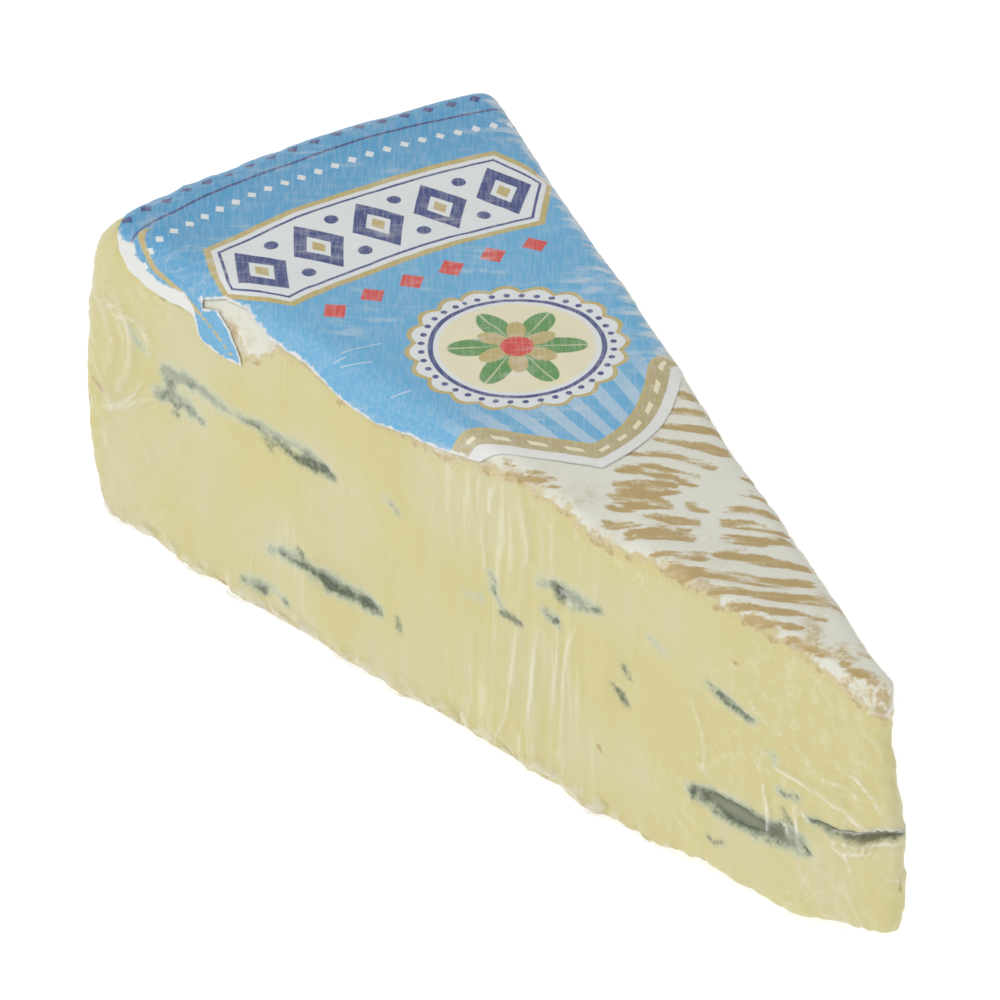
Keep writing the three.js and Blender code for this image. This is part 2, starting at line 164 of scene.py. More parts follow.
FAR_MOULD = [
    [(12.2, 25.6, 0.2), (14.5, 24.9, 0.4), (16.5, 25.3, 0.7), (18.1, 24.8, 0.3)],
    [(18.9, 25.6, 0.3), (20.5, 25.3, 0.6), (22, 24.6, 0.3), (23.6, 24.9, 0.1)],
    [(16.2, 26.6, 0.1), (17.4, 26.9, 0.3), (18.6, 26.5, 0.1)],
    [(9.2, 22.6, 0.2), (10.3, 21.8, 0.4), (11.6, 22.3, 0.2)],
    [(11.2, 21, 0.1), (12, 20.4, 0.2)],
    [(32.4, 10.5, 0.2), (34.6, 10.3, 0.4), (36.8, 9.7, 0.7), (39, 9.9, 0.4)],
    [(38.4, 10.6, 0.3), (41.2, 9.8, 0.8), (44, 10.2, 0.5), (47.8, 9.4, 0.15)],
    [(40.2, 8.3, 0.1), (41.6, 8, 0.3), (42.4, 8.5, 0.1)],
    [(35, 11.9, 0.1), (36.4, 12.3, 0.3), (37.2, 11.8, 0.1)],
    [(29, 13, 0.2), (30.3, 12.4, 0.3)],
    [(39.6, 22.3, 0.2), (41, 21.8, 0.4), (41.6, 20.9, 0.2)],
    [(54.3, 24.3, 0.2), (56.2, 24.9, 0.6), (57.6, 24.6, 0.4)],
    [(57.4, 24.3, 0.3), (59.2, 24.6, 0.7), (60.8, 24.1, 0.4), (62.1, 24.8, 0.1)],
    [(58.8, 26, 0.1), (60, 26.4, 0.25)],
    [(64, 14.6, 0.2), (65.4, 13.8, 0.3)],
    [(74, 12.5, 0.3), (75.8, 11.8, 0.6), (77.4, 12.1, 0.3)],
    [(77.6, 12.4, 0.4), (80.2, 12.2, 0.9), (82.2, 11.6, 0.5), (84.2, 11.7, 0.2)],
    [(79.6, 13.9, 0.1), (81, 14.2, 0.3)],
    [(72.4, 29, 0.2), (74.3, 28.2, 0.45), (75.7, 28.5, 0.2)],
    [(93.8, 22.9, 0.2), (96, 22.3, 0.5), (99, 22.8, 0.5), (100.6, 22.3, 0.15)],
    [(104, 13.4, 0.3), (106, 13.1, 0.5), (107.4, 13.6, 0.2)],
]

# ---- the rind: where the paste ends under it, as (distance from the rind side, height) ----
NEAR_RIND_EDGE = [
    (-3, 42), (1, 42), (2.6, 38.6), (4.5, 37.3), (7.4, 36.5), (10.5, 36.1), (16.4, 36.3), (20, 35.6),
    (24, 34.4), (27, 35), (30, 37.8), (35.5, 37.8), (41, 36.8), (47, 36.2), (53, 36.9), (58, 37.2),
    (64, 38.6), (70, 39.4), (77, 39.2), (80.5, 38), (84, 38.2), (90, 39.4), (106, 39.2), (114, 39),
    (120, 37.8), (126, 36.4),
]
FAR_RIND_EDGE = [(0, 37.6), (30, 38.6), (70, 38.2), (100, 38.7), (120, 37.6), (126, 36.4)]

# Where the rind shows behind the label's torn tongue.
RIND_NOTCH = [(18, 37.6, 0.8), (22.6, 37.4, 1.4), (27, 36.6, 1.3), (32, 37.6, 0.6)]

# The brown marks of the drying mat on the top, seen from above: strokes of (x, y, half width).
TOP_MARKS = [
    [(-58.6, 10.2, 0.4), (-57, 12, 0.75), (-55.4, 14.6, 0.7)],
    [(-56, 8.3, 0.45), (-54.3, 10.5, 0.6), (-52, 13.4, 0.7)],
    [(-53.8, 6, 0.3), (-51.4, 8.8, 0.7), (-48.6, 11.8, 0.85)],
    [(-52, 4, 0.35), (-49.5, 6.4, 0.6), (-46, 9, 0.7)],
    [(-51.2, -0.3, 0.3), (-48.4, 3.5, 0.5), (-44.4, 6.4, 0.7)],
    [(-48, 0.2, 0.25), (-46, 1.6, 0.3), (-43.3, 4.2, 0.25)],
    [(-49.2, -2.6, 0.5), (-47, 0.2, 1.2), (-45.2, 1.4, 0.6), (-42.2, 2.7, 0.25)],
    [(-47.4, -4.6, 0.3), (-45.6, -2.6, 1.3), (-43.9, -0.4, 1.3), (-42.8, 1, 0.4)],
    [(-46.6, -6, 0.3), (-43.8, -4, 1.2), (-42.2, -2.3, 1), (-40.7, -1.4, 0.3)],
    [(-45, -6.9, 0.3), (-43.6, -5.9, 0.45), (-42.4, -4.9, 0.3)],
    [(-43, -8.6, 0.3), (-41.6, -7.2, 0.75), (-40.2, -5.9, 0.3)],
    [(-41.2, -4.6, 0.4), (-38.8, -2.6, 0.9), (-36.4, -0.8, 0.45)],
    [(-39.9, 0.4, 0.35), (-38.9, 0.9, 0.6), (-38, 1.6, 0.3)],
    [(-39.2, -7.2, 1), (-37, -5, 1.25), (-34.6, -2.7, 0.7)],
    [(-38.4, -4.9, 0.3), (-36.1, -2.4, 0.45)],
    [(-34.6, -7.4, 0.4), (-33, -6, 0.55), (-31, -3.9, 0.75)],
    [(-31.6, -7.4, 0.8), (-30, -6.7, 0.7), (-28.8, -5.4, 0.75)],
    [(-41.4, 8.2, 0.3), (-39.6, 9.6, 0.45)],
    [(-38.9, 6.3, 0.3), (-37.6, 7.6, 0.5), (-36.2, 8.9, 0.5)],
    [(-37, 3.2, 0.35), (-35.6, 5.4, 0.6), (-33.6, 7.2, 0.7)],
    [(-34.9, 2, 0.75), (-33.6, 3.8, 0.95), (-32.3, 5.2, 0.4)],
    [(-31.9, 5, 0.5), (-30.2, 6.4, 0.6)],
    [(-32.5, 0.1, 0.7), (-30.6, 2.9, 0.75), (-28.4, 6.1, 0.6)],
    [(-30.2, -2.2, 0.4), (-29.2, -0.2, 1.3), (-27.6, 1, 1.1), (-25.6, 2.8, 0.6), (-23.4, 5, 0.5)],
    [(-27.9, -4.6, 0.75), (-25.6, -2.2, 0.85), (-22.5, 0.6, 0.7), (-20.6, 3.2, 0.65)],
    [(-26, -5.8, 0.5), (-22.3, -2.4, 0.6), (-18, 1.6, 0.7), (-15.8, 3.6, 0.4)],
    [(-23, -5.2, 0.35), (-19.2, -2.9, 0.5), (-16.2, -0.4, 0.4), (-14.4, 1.2, 0.2)],
    [(-20.4, -5, 0.35), (-17.2, -3.6, 0.45), (-14.5, -2, 0.3)],
    [(-14.6, -3.6, 0.2), (-12, -2.7, 0.3), (-9.6, -2.2, 0.1)],
    [(-7.4, -1.5, 0.1), (-5.6, -1.2, 0.3), (-3.4, -0.8, 0.1)],
    [(-57.8, -12.2, 0.2), (-54.5, -11, 0.35), (-51.2, -9.3, 0.25)],
    [(-56.4, -12.6, 0.2), (-53, -11.2, 0.4), (-50.6, -9.9, 0.3)],
]

# ---- the film on the near face ----
# Strokes of (distance from the rind side, height, half width).
# Broad soft folds: (how proud, stroke).
FOLDS = [
    (0.2, [(58.9, 37.2, 0.4), (59.2, 32.3, 0.5), (59.3, 25, 0.4)]),
    (0.2, [(61.4, 37.3, 0.4), (62.6, 32.6, 0.5), (63.9, 28.5, 0.3)]),
    (0.35, [(68.3, 39.7, 0.3), (69.9, 38.1, 0.5), (70.5, 35.4, 0.5), (71.2, 32.3, 0.5), (71, 29.8, 0.3)]),
    (0.25, [(70.6, 29, 0.3), (70.1, 23.8, 0.4), (69.5, 16.8, 0.3), (69.1, 11.3, 0.3), (66.2, 2.3, 0.2)]),
    (0.2, [(80.3, 27.6, 0.2), (78.7, 23.5, 0.3), (77.8, 19.5, 0.4), (77.2, 12, 0.4), (76.7, 5.2, 0.3)]),
    (0.2, [(74.3, 22, 0.4), (73.7, 12.3, 0.5), (72, 3.4, 0.4)]),
    (0.2, [(62.5, 15.2, 0.6), (61.5, 4.6, 0.5)]),
    (0.2, [(58.8, 12, 0.5), (59.4, 4, 0.5)]),
    (0.3, [(121.9, 35.2, 0.3), (124, 33.5, 0.5), (125.3, 31, 0.4)]),
    (0.25, [(121, 29, 0.3), (122.8, 27.3, 0.4), (125.4, 25.5, 0.3)]),
    (0.3, [(109.9, 23.1, 0.2), (113.3, 23, 0.35), (116.7, 23.4, 0.4), (119.6, 23.3, 0.3)]),
    (0.4, [(120.6, 13.6, 0.3), (122.6, 10, 0.5), (124.4, 8.2, 0.4)]),
    (0.3, [(112.1, 38.6, 0.3), (115.1, 37.7, 0.4), (117.6, 35.4, 0.3)]),
    (0.2, [(85.6, 34.4, 0.3), (88, 33.4, 0.4), (90.8, 31.7, 0.3)]),
    (0.35, [(2.6, 32.2, 0.5), (4.9, 28.6, 0.6), (4.7, 24, 0.6), (2.6, 19, 0.4)]),
    (0.35, [(-0.9, 18.6, 0.4), (3.2, 17.3, 0.6), (6.6, 19.2, 0.5), (9.2, 22.4, 0.3)]),
    (0.3, [(-0.4, 30.6, 0.4), (1.8, 25.8, 0.5), (0.4, 20.4, 0.4)]),
    (0.2, [(6.4, 15, 0.5), (8.7, 13, 0.5), (7, 10.2, 0.4)]),
    (0.2, [(10.2, 9.4, 0.4), (15.8, 10.8, 0.5), (21, 10, 0.4)]),
]
# Thin creases: the film stands a little proud on them, and they are drawn as thin white lines, painted
# highlights, on the film and a little paler on the paste.
CREASES = [
    [(-2.4, 29.9, 0.05), (0.6, 30.7, 0.15), (2.6, 29.7, 0.15), (4.3, 29.7, 0.25), (4.9, 27.2, 0.2),
     (4.8, 24.4, 0.15), (4.3, 21.3, 0.05)],
    [(1.3, 31, 0.1), (4.3, 30.5, 0.15), (6.4, 30, 0.15), (7.7, 28.5, 0.15), (8.1, 26.7, 0.1)],
    [(7, 22.6, 0.05), (5.6, 20, 0.15), (3.6, 17.9, 0.2), (0.6, 16.2, 0.1)],
    [(2.6, 30, 0.05), (3.3, 28.4, 0.1), (4, 26.8, 0.1), (3.6, 24.3, 0.05)],
    [(-1.8, 21.7, 0.05), (-0.6, 20.1, 0.15), (0.5, 18.4, 0.15), (0.9, 17.2, 0.05)],
    [(7, 30.1, 0.05), (8.8, 28.2, 0.1), (10.8, 26.9, 0.05)],
    [(1.3, 16, 0.1), (4.3, 17.9, 0.2), (6.3, 19.5, 0.15), (9, 21, 0.05)],
    [(-0.4, 13.6, 0.05), (1.2, 12.4, 0.2), (1.6, 11, 0.05)],
    [(77.3, 28.8, 0.3), (78.5, 28.3, 0.3)],
    [(70.6, 36.4, 0.1), (71.4, 32.3, 0.15), (71, 29.8, 0.1)],
    [(69.9, 20.5, 0.1), (69.4, 16.8, 0.15), (68.9, 11.3, 0.15), (68.3, 7.3, 0.1), (66.2, 2.3, 0.1)],
    [(63.5, 37.5, 0.1), (63.7, 32.9, 0.15), (64.3, 28.7, 0.15), (64.7, 25.5, 0.05)],
    [(65.4, 36.8, 0.3), (65.3, 33.7, 0.15)],
    [(76.5, 24.4, 0.1), (76.4, 20.2, 0.15), (75.8, 14.8, 0.2), (75.5, 11.1, 0.1)],
    [(79.6, 26, 0.05), (78.4, 23, 0.15), (77.6, 19.5, 0.2), (77.1, 12, 0.15), (76.7, 6.2, 0.1)],
    [(73.2, 22.3, 0.1), (72.7, 18.1, 0.15), (72.1, 12.8, 0.2), (71.6, 7.6, 0.15), (72.1, 3.4, 0.1)],
    [(62.4, 11.3, 0.05), (62.5, 7.7, 0.1), (61.9, 3.7, 0.05)],
    [(58.2, 36.7, 0.05), (58.5, 30.3, 0.1)],
    [(78.7, 39.1, 0.1), (78.8, 36.9, 0.15)],
    [(76.6, 29.2, 0.05), (76.3, 27.5, 0.15)],
    [(108.3, 19.9, 0.1), (108.7, 16.8, 0.3), (108.6, 13.1, 0.15)],
    [(112.8, 19.6, 0.1), (113.1, 17, 0.2), (113.9, 13.9, 0.1)],
    [(110.9, 16.1, 0.15), (111.6, 15.7, 0.2), (112, 14.7, 0.1)],
    [(119, 19.6, 0.05), (121.4, 20.6, 0.1), (123.7, 22, 0.1), (126.3, 23.7, 0.15), (128.3, 23.3, 0.1)],
    [(117.2, 17.3, 0.05), (119.3, 17.9, 0.1), (122.8, 19.2, 0.15), (126.1, 21.7, 0.15), (128.3, 22, 0.1)],
    [(117.3, 16.6, 0.05), (119.8, 16.9, 0.1), (121.2, 16.2, 0.15), (121.9, 14.6, 0.05)],
    [(120.4, 16.9, 0.15), (125.7, 19.9, 0.1)],
    [(115, 22.8, 0.1), (119.3, 22.9, 0.2), (122, 22.5, 0.2), (123.7, 22.3, 0.1)],
    [(118.9, 28, 0.1), (122.3, 27.6, 0.2), (125.4, 25.5, 0.1)],
    [(122.7, 37.4, 0.1), (125, 37.5, 0.15), (125.9, 36.4, 0.1)],
    [(98.2, 17.5, 0.1), (99.8, 16.7, 0.05)],
    [(106.5, 23.2, 0.05), (107.9, 21.6, 0.1)],
    [(109.9, 23.1, 0.1), (113.3, 23, 0.15), (116.7, 23.4, 0.05)],
    [(113.4, 19.2, 0.15), (115.1, 18.6, 0.15)],
    [(126.4, 16.8, 0), (127.3, 17.4, 0.05), (128.4, 16.7, 0)],
    [(97.3, 25.5, 0.05), (99.1, 21.8, 0.1), (99.5, 16.6, 0.05)],
    [(105, 31, 0.05), (107.5, 28.6, 0.1), (110.8, 27.7, 0.05)],
    [(112.6, 27.5, 0.05), (116.5, 25.3, 0.1), (120, 25.9, 0.15), (122.6, 25.4, 0.1)],
]
# Valleys between the pleats: sunk a little in the paste, and painted darker and yellower there as painted
# shade.
VALLEYS = [
    [(72.4, 20.1, 0.2), (73.7, 13.7, 0.5), (74.1, 10.3, 0.4), (74, 4, 0.2)],
    [(76.9, 19, 0.2), (77, 11.9, 0.3), (76.4, 6.2, 0.25)],
    [(71.6, 28.4, 0.2), (71.7, 23.6, 0.4), (70.9, 17, 0.2)],
    [(72.3, 36, 0.2), (72.6, 32, 0.35), (72, 29, 0.2)],
    [(70.5, 14, 0.2), (70.3, 6, 0.3)],
]

# ---- the label ----
# Its torn edge and crease are seen from the near side as (x, z), its ends and scratches from above as (x, y).
LABEL_TORN_EDGE = [
    (-121.8, 39.6), (-119.8, 38), (-117.9, 36.8), (-115, 36.1), (-112, 35.8), (-109, 36.2), (-106.2, 36.3),
]
LABEL_TONGUE = [
    (-105.4, 34.3), (-104.6, 33.6), (-102.7, 33.1), (-100.4, 33), (-98.1, 33.2), (-98.9, 35.2),
    (-100.1, 36.9), (-102.6, 38.3), (-104.9, 37.6), (-105.3, 38.4),
]
LABEL_FRONT_EDGE = [
    (-102.5, 39.5), (-98.8, 39.7), (-94, 38.5), (-87.5, 38), (-82, 37), (-76, 36.5), (-71, 37.2),
    (-67, 37.7), (-61, 38.9),
]
LABEL_CREASE = [(-119, 40), (-114, 38.4), (-109, 37.9), (-105.6, 37), (-102.6, 35.6), (-99.5, 33.9)]
LABEL_SCRATCHES = [
    ((-84, -18.7), (-81.8, -14.9)), ((-75.9, -17), (-74.8, -14.2)), ((-85.2, -19), (-84.5, -16.9)),
    ((-85.4, -17.2), (-84.4, -12.2)),
]
LABEL_FOLD_START = (-60.8, -13.8)
LABEL_FOLD_CORNER = (-50.3, -4.2)
LABEL_ROUND_PULL = (-51.2, 6)
LABEL_ROUND_END = (-61.5, 13.6)
# The paper's two corners over the rind side, seen from above.
LABEL_NEAR_CORNER = [(-139.2, -17), (-125.6, -20.8), (-121.9, -24.7), (-121.7, -25.3), (-121.7, -40)]
LABEL_FAR_CORNER = [(-126.8, 23.4), (-139.2, 20.5)]
# How far the paper reaches down over the rind side and the far rim, seen from the near side as (x, z).
LABEL_BACK_EDGE = [(-145, 34), (-121.5, 34)]
LABEL_FAR_EDGE = [(-121, 38.4), (-45, 38.4)]

# The print. Its plaque lies at this radius from the wheel's centre. CRISP is half the blur of a printed edge.
PLAQUE_RADIUS = 105.0
PLAQUE_HALF_HEIGHT = 7.2
PLAQUE_HALF_LENGTH = 22.0
LOZENGE_PITCH = 8.2
ROSETTE_CENTRE = (-75.5, 0.5)
ROSETTE_RADIUS = 12.0
BEAD_RING = 11.1
BEADS = 40
CRISP = 0.07

# The drying mat's plain rows: their pitch on the base, that of their gaps, and their pitch on the rind side.
MAT_ROW = 3.5
MAT_LANE = 22
MAT_WALL_ROW = 6

# ---- the studio, in metres: each light's (size, place) ----
LIGHTS = {"key": (0.7, (-0.25, -0.75, 0.85)), "fill": (0.5, (0.85, -0.2, 0.7))}
FLOOR_SIZE = 8
CAMERA_PLACE = (0.541179, -0.346408, 0.485752)
CAMERA_AIM = (-0.036122, 0.013120, 0.0)
CAMERA_LENS = 252
CAMERA_SENSOR = 36


# ---------------------------------------------------------------- settings


def colour(name, about, default):
    return bpy.props.FloatVectorProperty(
        name=name, description=about, subtype="COLOR", size=3, min=0.0, max=1.0, default=linear(*default)
    )


def length(name, about, default):
    return bpy.props.FloatProperty(
        name=name, description=about, subtype="DISTANCE", unit="LENGTH", min=0.0, default=default
    )


def power(name, about, default):
    return bpy.props.FloatProperty(
        name=name, description=about, subtype="POWER", unit="POWER", min=0.0, default=default
    )


def share(name, about, default):
    return bpy.props.FloatProperty(
        name=name, description=about, subtype="FACTOR", min=0.0, max=1.0, default=default
    )


def linear(red, green, blue):
    """A colour as it looks on a screen, from 0 to 255, to Blender's linear values."""
    parts = [value / 255 for value in (red, green, blue)]
    return tuple(part / 12.92 if part <= 0.04045 else ((part + 0.055) / 1.055) ** 2.4 for part in parts)


class CheeseSettings(bpy.types.PropertyGroup):
    grain: length("Mesh grain", "Size of the squares that the cheese and the film are made of", 0.00053)
    drawn_in: length("Drawn in", "How far the cheese lies inside its frame, to leave the film room", 0.0002)
    bridging: length("Bridging", "Half the width of the frame's hollows that are closed and spanned", 0.0021)
    paste: colour("Paste", "The cream paste", (204, 197, 153))
    # Warm paste is the riper paste's own colour, and also painted shade in the pleats' valleys and in the
    # crumpled film's blotches. Pale paste is painted highlight on the pleats' ridges and creases and on the
    # crumpled film's wrinkles and blotches.
    paste_warm_and_shade: colour("Warm paste", "The riper, yellower paste", (203, 194, 136))
    paste_highlight: colour("Pale paste", "Paste that the film has chalked", (223, 219, 191))
    rind: colour("Rind", "The white mould of the rind", (219, 219, 206))
    rind_edge: colour("Rind edge", "Where the rind meets the paste", (204, 190, 152))
    mat_mark: colour("Mat marks", "The brown marks of the drying mat", (178, 153, 101))
    mould: colour("Mould", "The blue-green mould", (95, 107, 83))
    mould_grey: colour("Grey mould", "Mould that shows through the paste", (145, 152, 134))
    mould_deep: colour("Deep mould", "The darkest spots of the mould", (54, 64, 44))
    mould_halo: colour("Mould halo", "Paste that the mould has tinted", (193, 198, 172))
    hollow: colour("Hollow", "The brown inside of the hollow under the film", (126, 124, 92))


class LabelSettings(bpy.types.PropertyGroup):
    lift: length("Lift", "How far the label's underside is above the rind", 0.00006)
    paper: length("Paper", "Thickness of the label", 0.00014)
    field: colour("Field", "The label's sky-blue ground", (104, 171, 210))
    field_back: colour("Field at the back", "The deeper blue by the rind side", (84, 155, 198))
    band: colour("Band", "The white plaque", (220, 224, 224))
    navy: colour("Navy", "Lozenges and rings", (70, 80, 130))
    gold: colour("Gold", "Thin borders", (188, 171, 114))
    tan: colour("Tan", "The border round the inner end", (180, 167, 124))
    green: colour("Green", "Leaves", (98, 148, 86))
    red: colour("Red", "Small lozenges", (208, 80, 74))
    cream: colour("Cream", "The ground of the rosette", (226, 220, 188))
    bare: colour("Bare paper", "The unprinted paper of the margin and the torn edges", (222, 222, 219))


class FilmSettings(bpy.types.PropertyGroup):
    over_cheese: length("Over the cheese", "How far the film is outside the frame on the cheese", 0.00004)
    over_label: length("Over the label", "How far the film is outside the frame over the label", 0.00028)
    pleats: share("Pleats", "How strongly the film's pleats stand out", 0.6)
    haze: share("Haze", "How milky the film is where it lies free", 0.36)
    roughness: share("Roughness", "How blurred the film's shine is", 0.22)


class StudioSettings(bpy.types.PropertyGroup):
    floor: colour("Floor", "The pale floor", (168, 168, 167))
    floor_glow: share("Floor glow", "How much the floor is lit from below", 0.8)
    surround: share("Surround", "Strength of the even white light all round", 0.65)
    key: power("Key light", "Power of the large soft light", 4.2)
    fill: power("Fill light", "Power of the light by the camera", 1.25)


# ---------------------------------------------------------------- shaping


def alone(piece):
    """Selects one object and makes it the active one."""
    if bpy.context.object and bpy.context.object.mode != "OBJECT":
        bpy.ops.object.mode_set(mode="OBJECT")
    bpy.ops.object.select_all(action="DESELECT")
    piece.select_set(True)
    bpy.context.view_layer.objects.active = piece
    return piece


def apply(piece, kind, **settings):
    """Adds a modifier and applies it."""
    alone(piece)
    modifier = piece.modifiers.new(kind.lower(), kind)
    for name, value in settings.items():
        setattr(modifier, name, value)
    bpy.ops.object.modifier_apply(modifier=modifier.name)


def fresh(name, mesh):
    """A new object of that mesh, in the scene."""
    old = bpy.data.objects.get(name)
    if old:
        bpy.data.objects.remove(old)
    piece = bpy.data.objects.new(name, mesh)
    bpy.context.scene.collection.objects.link(piece)
    mesh.name = name
    return piece


def merged_copy(node, name):
    """A copy of a CAD node whose loose triangles are joined up."""
    piece = alone(fresh(name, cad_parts[node].data.copy()))
    piece.data.materials.clear()
    bpy.ops.object.mode_set(mode="EDIT")
    bpy.ops.mesh.select_all(action="SELECT")
    bpy.ops.mesh.remove_doubles(threshold=1e-6)
    bpy.ops.object.mode_set(mode="OBJECT")
    forget(piece.data)
    return piece


def forget(mesh):
    """Removes every value kept on the mesh."""
    for name in [a.name for a in mesh.attributes if not a.is_internal and not a.is_required]:
        mesh.attributes.remove(mesh.attributes[name])


def places(mesh):
    """The vertices in millimetres round the wheel's centre."""
    values = np.empty(len(mesh.vertices) * 3, np.float32)
    mesh.vertices.foreach_get("co", values)
    return values.reshape(-1, 3).astype(float) / MM - WHEEL_CENTRE


def put_places(mesh, points):
    mesh.vertices.foreach_set("co", ((points + WHEEL_CENTRE) * MM).astype(np.float32).ravel())
    mesh.update()


def outwards(mesh):
    """The vertices' normals."""
    values = np.empty(len(mesh.vertices) * 3, np.float32)
    mesh.vertex_normals.foreach_get("vector", values)
    return values.reshape(-1, 3).astype(float)


def note(mesh, name, values):
    """Keeps a value for each vertex, which the materials read."""
    kind = "FLOAT" if values.ndim == 1 else "FLOAT_VECTOR"
    attribute = mesh.attributes.new(name, kind, "POINT")
    attribute.data.foreach_set("value" if kind == "FLOAT" else "vector", values.astype(np.float32).ravel())


def ease(value, low, high):
    """0 below low, 1 above high, smooth between. low may be the greater one."""
    t = np.clip((value - low) / (high - low), 0, 1)
    return t * t * (3 - 2 * t)


def unevenness(points, size, shift, stretch=(1, 1, 1)):
    """A smooth wander from -1 to 1 with bumps of about `size` millimetres, the same at every run."""
    steps = points / size * np.array(stretch) + shift
    return np.array([noise.noise(Vector(p)) for p in steps])


def curved(stroke, steps):
    """The stroke with round bends: a Catmull-Rom curve through its points."""
    points = np.array(stroke)
    if len(points) < 3:
        return points
    points = np.vstack((2 * points[0] - points[1], points, 2 * points[-1] - points[-2]))
    line = []
    for a, b, c, d in zip(points, points[1:], points[2:], points[3:]):
        for t in np.arange(steps) / steps:
            twice = 2 * b + (c - a) * t + (2 * a - 5 * b + 4 * c - d) * t**2 + (3 * b - a - 3 * c + d) * t**3
            line.append(0.5 * twice)
    return [*line, points[-2]]


def curves(strokes, steps=4):
    """Each of the strokes with round bends."""
    return [curved(stroke, steps) for stroke in strokes]


def from_strokes(places_2d, strokes, reach=2.5):
    """How far each place is outside the nearest stroke, up to `reach`, and less than 0 inside it."""
    nearest = np.full(len(places_2d), reach)
    for stroke in strokes:
        line = np.array(stroke)
        room = reach + line[:, 2].max()
        low, high = line[:, :2].min(axis=0) - room, line[:, :2].max(axis=0) + room
        close = np.flatnonzero(((places_2d > low) & (places_2d < high)).all(axis=1))
        some = places_2d[close]
        for start, end in zip(line, line[1:]):
            along = end[:2] - start[:2]
            t = np.clip((some - start[:2]) @ along / max(along @ along, 1e-9), 0, 1)
            gap = np.linalg.norm(some - start[:2] - t[:, None] * along, axis=1)
            nearest[close] = np.minimum(nearest[close], gap - start[2] - t * (end[2] - start[2]))
    return nearest


def on_face(points):
    """Each point as (distance from the rind side, height).

    The distance runs on from the near face round the tip's nose.
    """
    from_centre = FACE_RADIUS - np.hypot(points[:, 0], points[:, 1])
    at_tip = FACE_RADIUS - TIP_STEP + points[:, 0] / math.cos(HALF_ANGLE)
    by_tip = ease(points[:, 0], -11, -5)
    distance = from_centre * (1 - by_tip) + at_tip * by_tip
    half_width = TIP_HALF_WIDTH - points[:, 0] * math.tan(HALF_ANGLE)
    round_nose = ease(distance, NOSE_START, NOSE_END + 0.5) * np.clip(points[:, 1] + half_width, 0, 3.2)
    return np.column_stack((distance + round_nose, points[:, 2]))


def is_near(points, face):
    """Whether a point is on the near face, which takes in most of the tip's nose."""
    return points[:, 1] < 1.4 * ease(face[:, 0], NOSE_START, NOSE_END)


def side_out(height):
    """How far the rind side stands out at a height, as in the frame."""
    above = (height - SIDE_WIDEST) / (RIM_HEIGHT - SIDE_WIDEST)
    below = (SIDE_WIDEST - height) / SIDE_WIDEST
    return np.where(above > 0, SIDE_OUT * (1 - above**2), SIDE_OUT - SIDE_TUCK * below**2)


def rind_depth(points):
    """How far each point is into the rind, and less than 0 in the paste."""
    face = on_face(points)
    near = np.interp(face[:, 0], *zip(*NEAR_RIND_EDGE))
    far = np.interp(face[:, 0], *zip(*FAR_RIND_EDGE))
    edge = np.where(is_near(points, face), near, far)
    top = points[:, 2] - edge
    side = np.hypot(points[:, 0], points[:, 1]) - (WHEEL_RADIUS + side_out(points[:, 2])) + RIND_THICKNESS
    base = RIND_THICKNESS - points[:, 2]
    return np.maximum(np.maximum(top, side), base)


def mat_marks(points):
    """How far each point is outside the brown marks.

    Those of the top are placed one by one. The base and the rind side have the mat's plain rows.
    """
    from_top = from_strokes(points[:, :2], curves(TOP_MARKS, 3))
    across = (points[:, 0] - points[:, 1]) / math.sqrt(2)
    along = (points[:, 0] + points[:, 1]) / math.sqrt(2)
    wander = unevenness(points, 6.0, 3.3)
    row = np.abs((across + 0.5 * wander) % MAT_ROW - MAT_ROW / 2) - 0.5 - 0.3 * unevenness(points, 9.0, 8.1)
    lane = 2.2 - np.abs((along + wander) % MAT_LANE - MAT_LANE / 2)
    rows = np.maximum(row, lane)
    wall = np.abs((points[:, 2] + 0.6 * wander) % MAT_WALL_ROW - MAT_WALL_ROW / 2) - 0.5
    wall -= 0.5 * unevenness(points, 11.0, 1.7)
    is_wall = np.hypot(points[:, 0], points[:, 1]) > WHEEL_RADIUS - 1.5
    below = np.where(is_wall & (points[:, 2] > 1.0), wall, rows)
    above = np.where(is_wall & (points[:, 2] < 39), wall, from_top)
    return np.where(points[:, 2] > 30, above, below)


# ---------------------------------------------------------------- materials


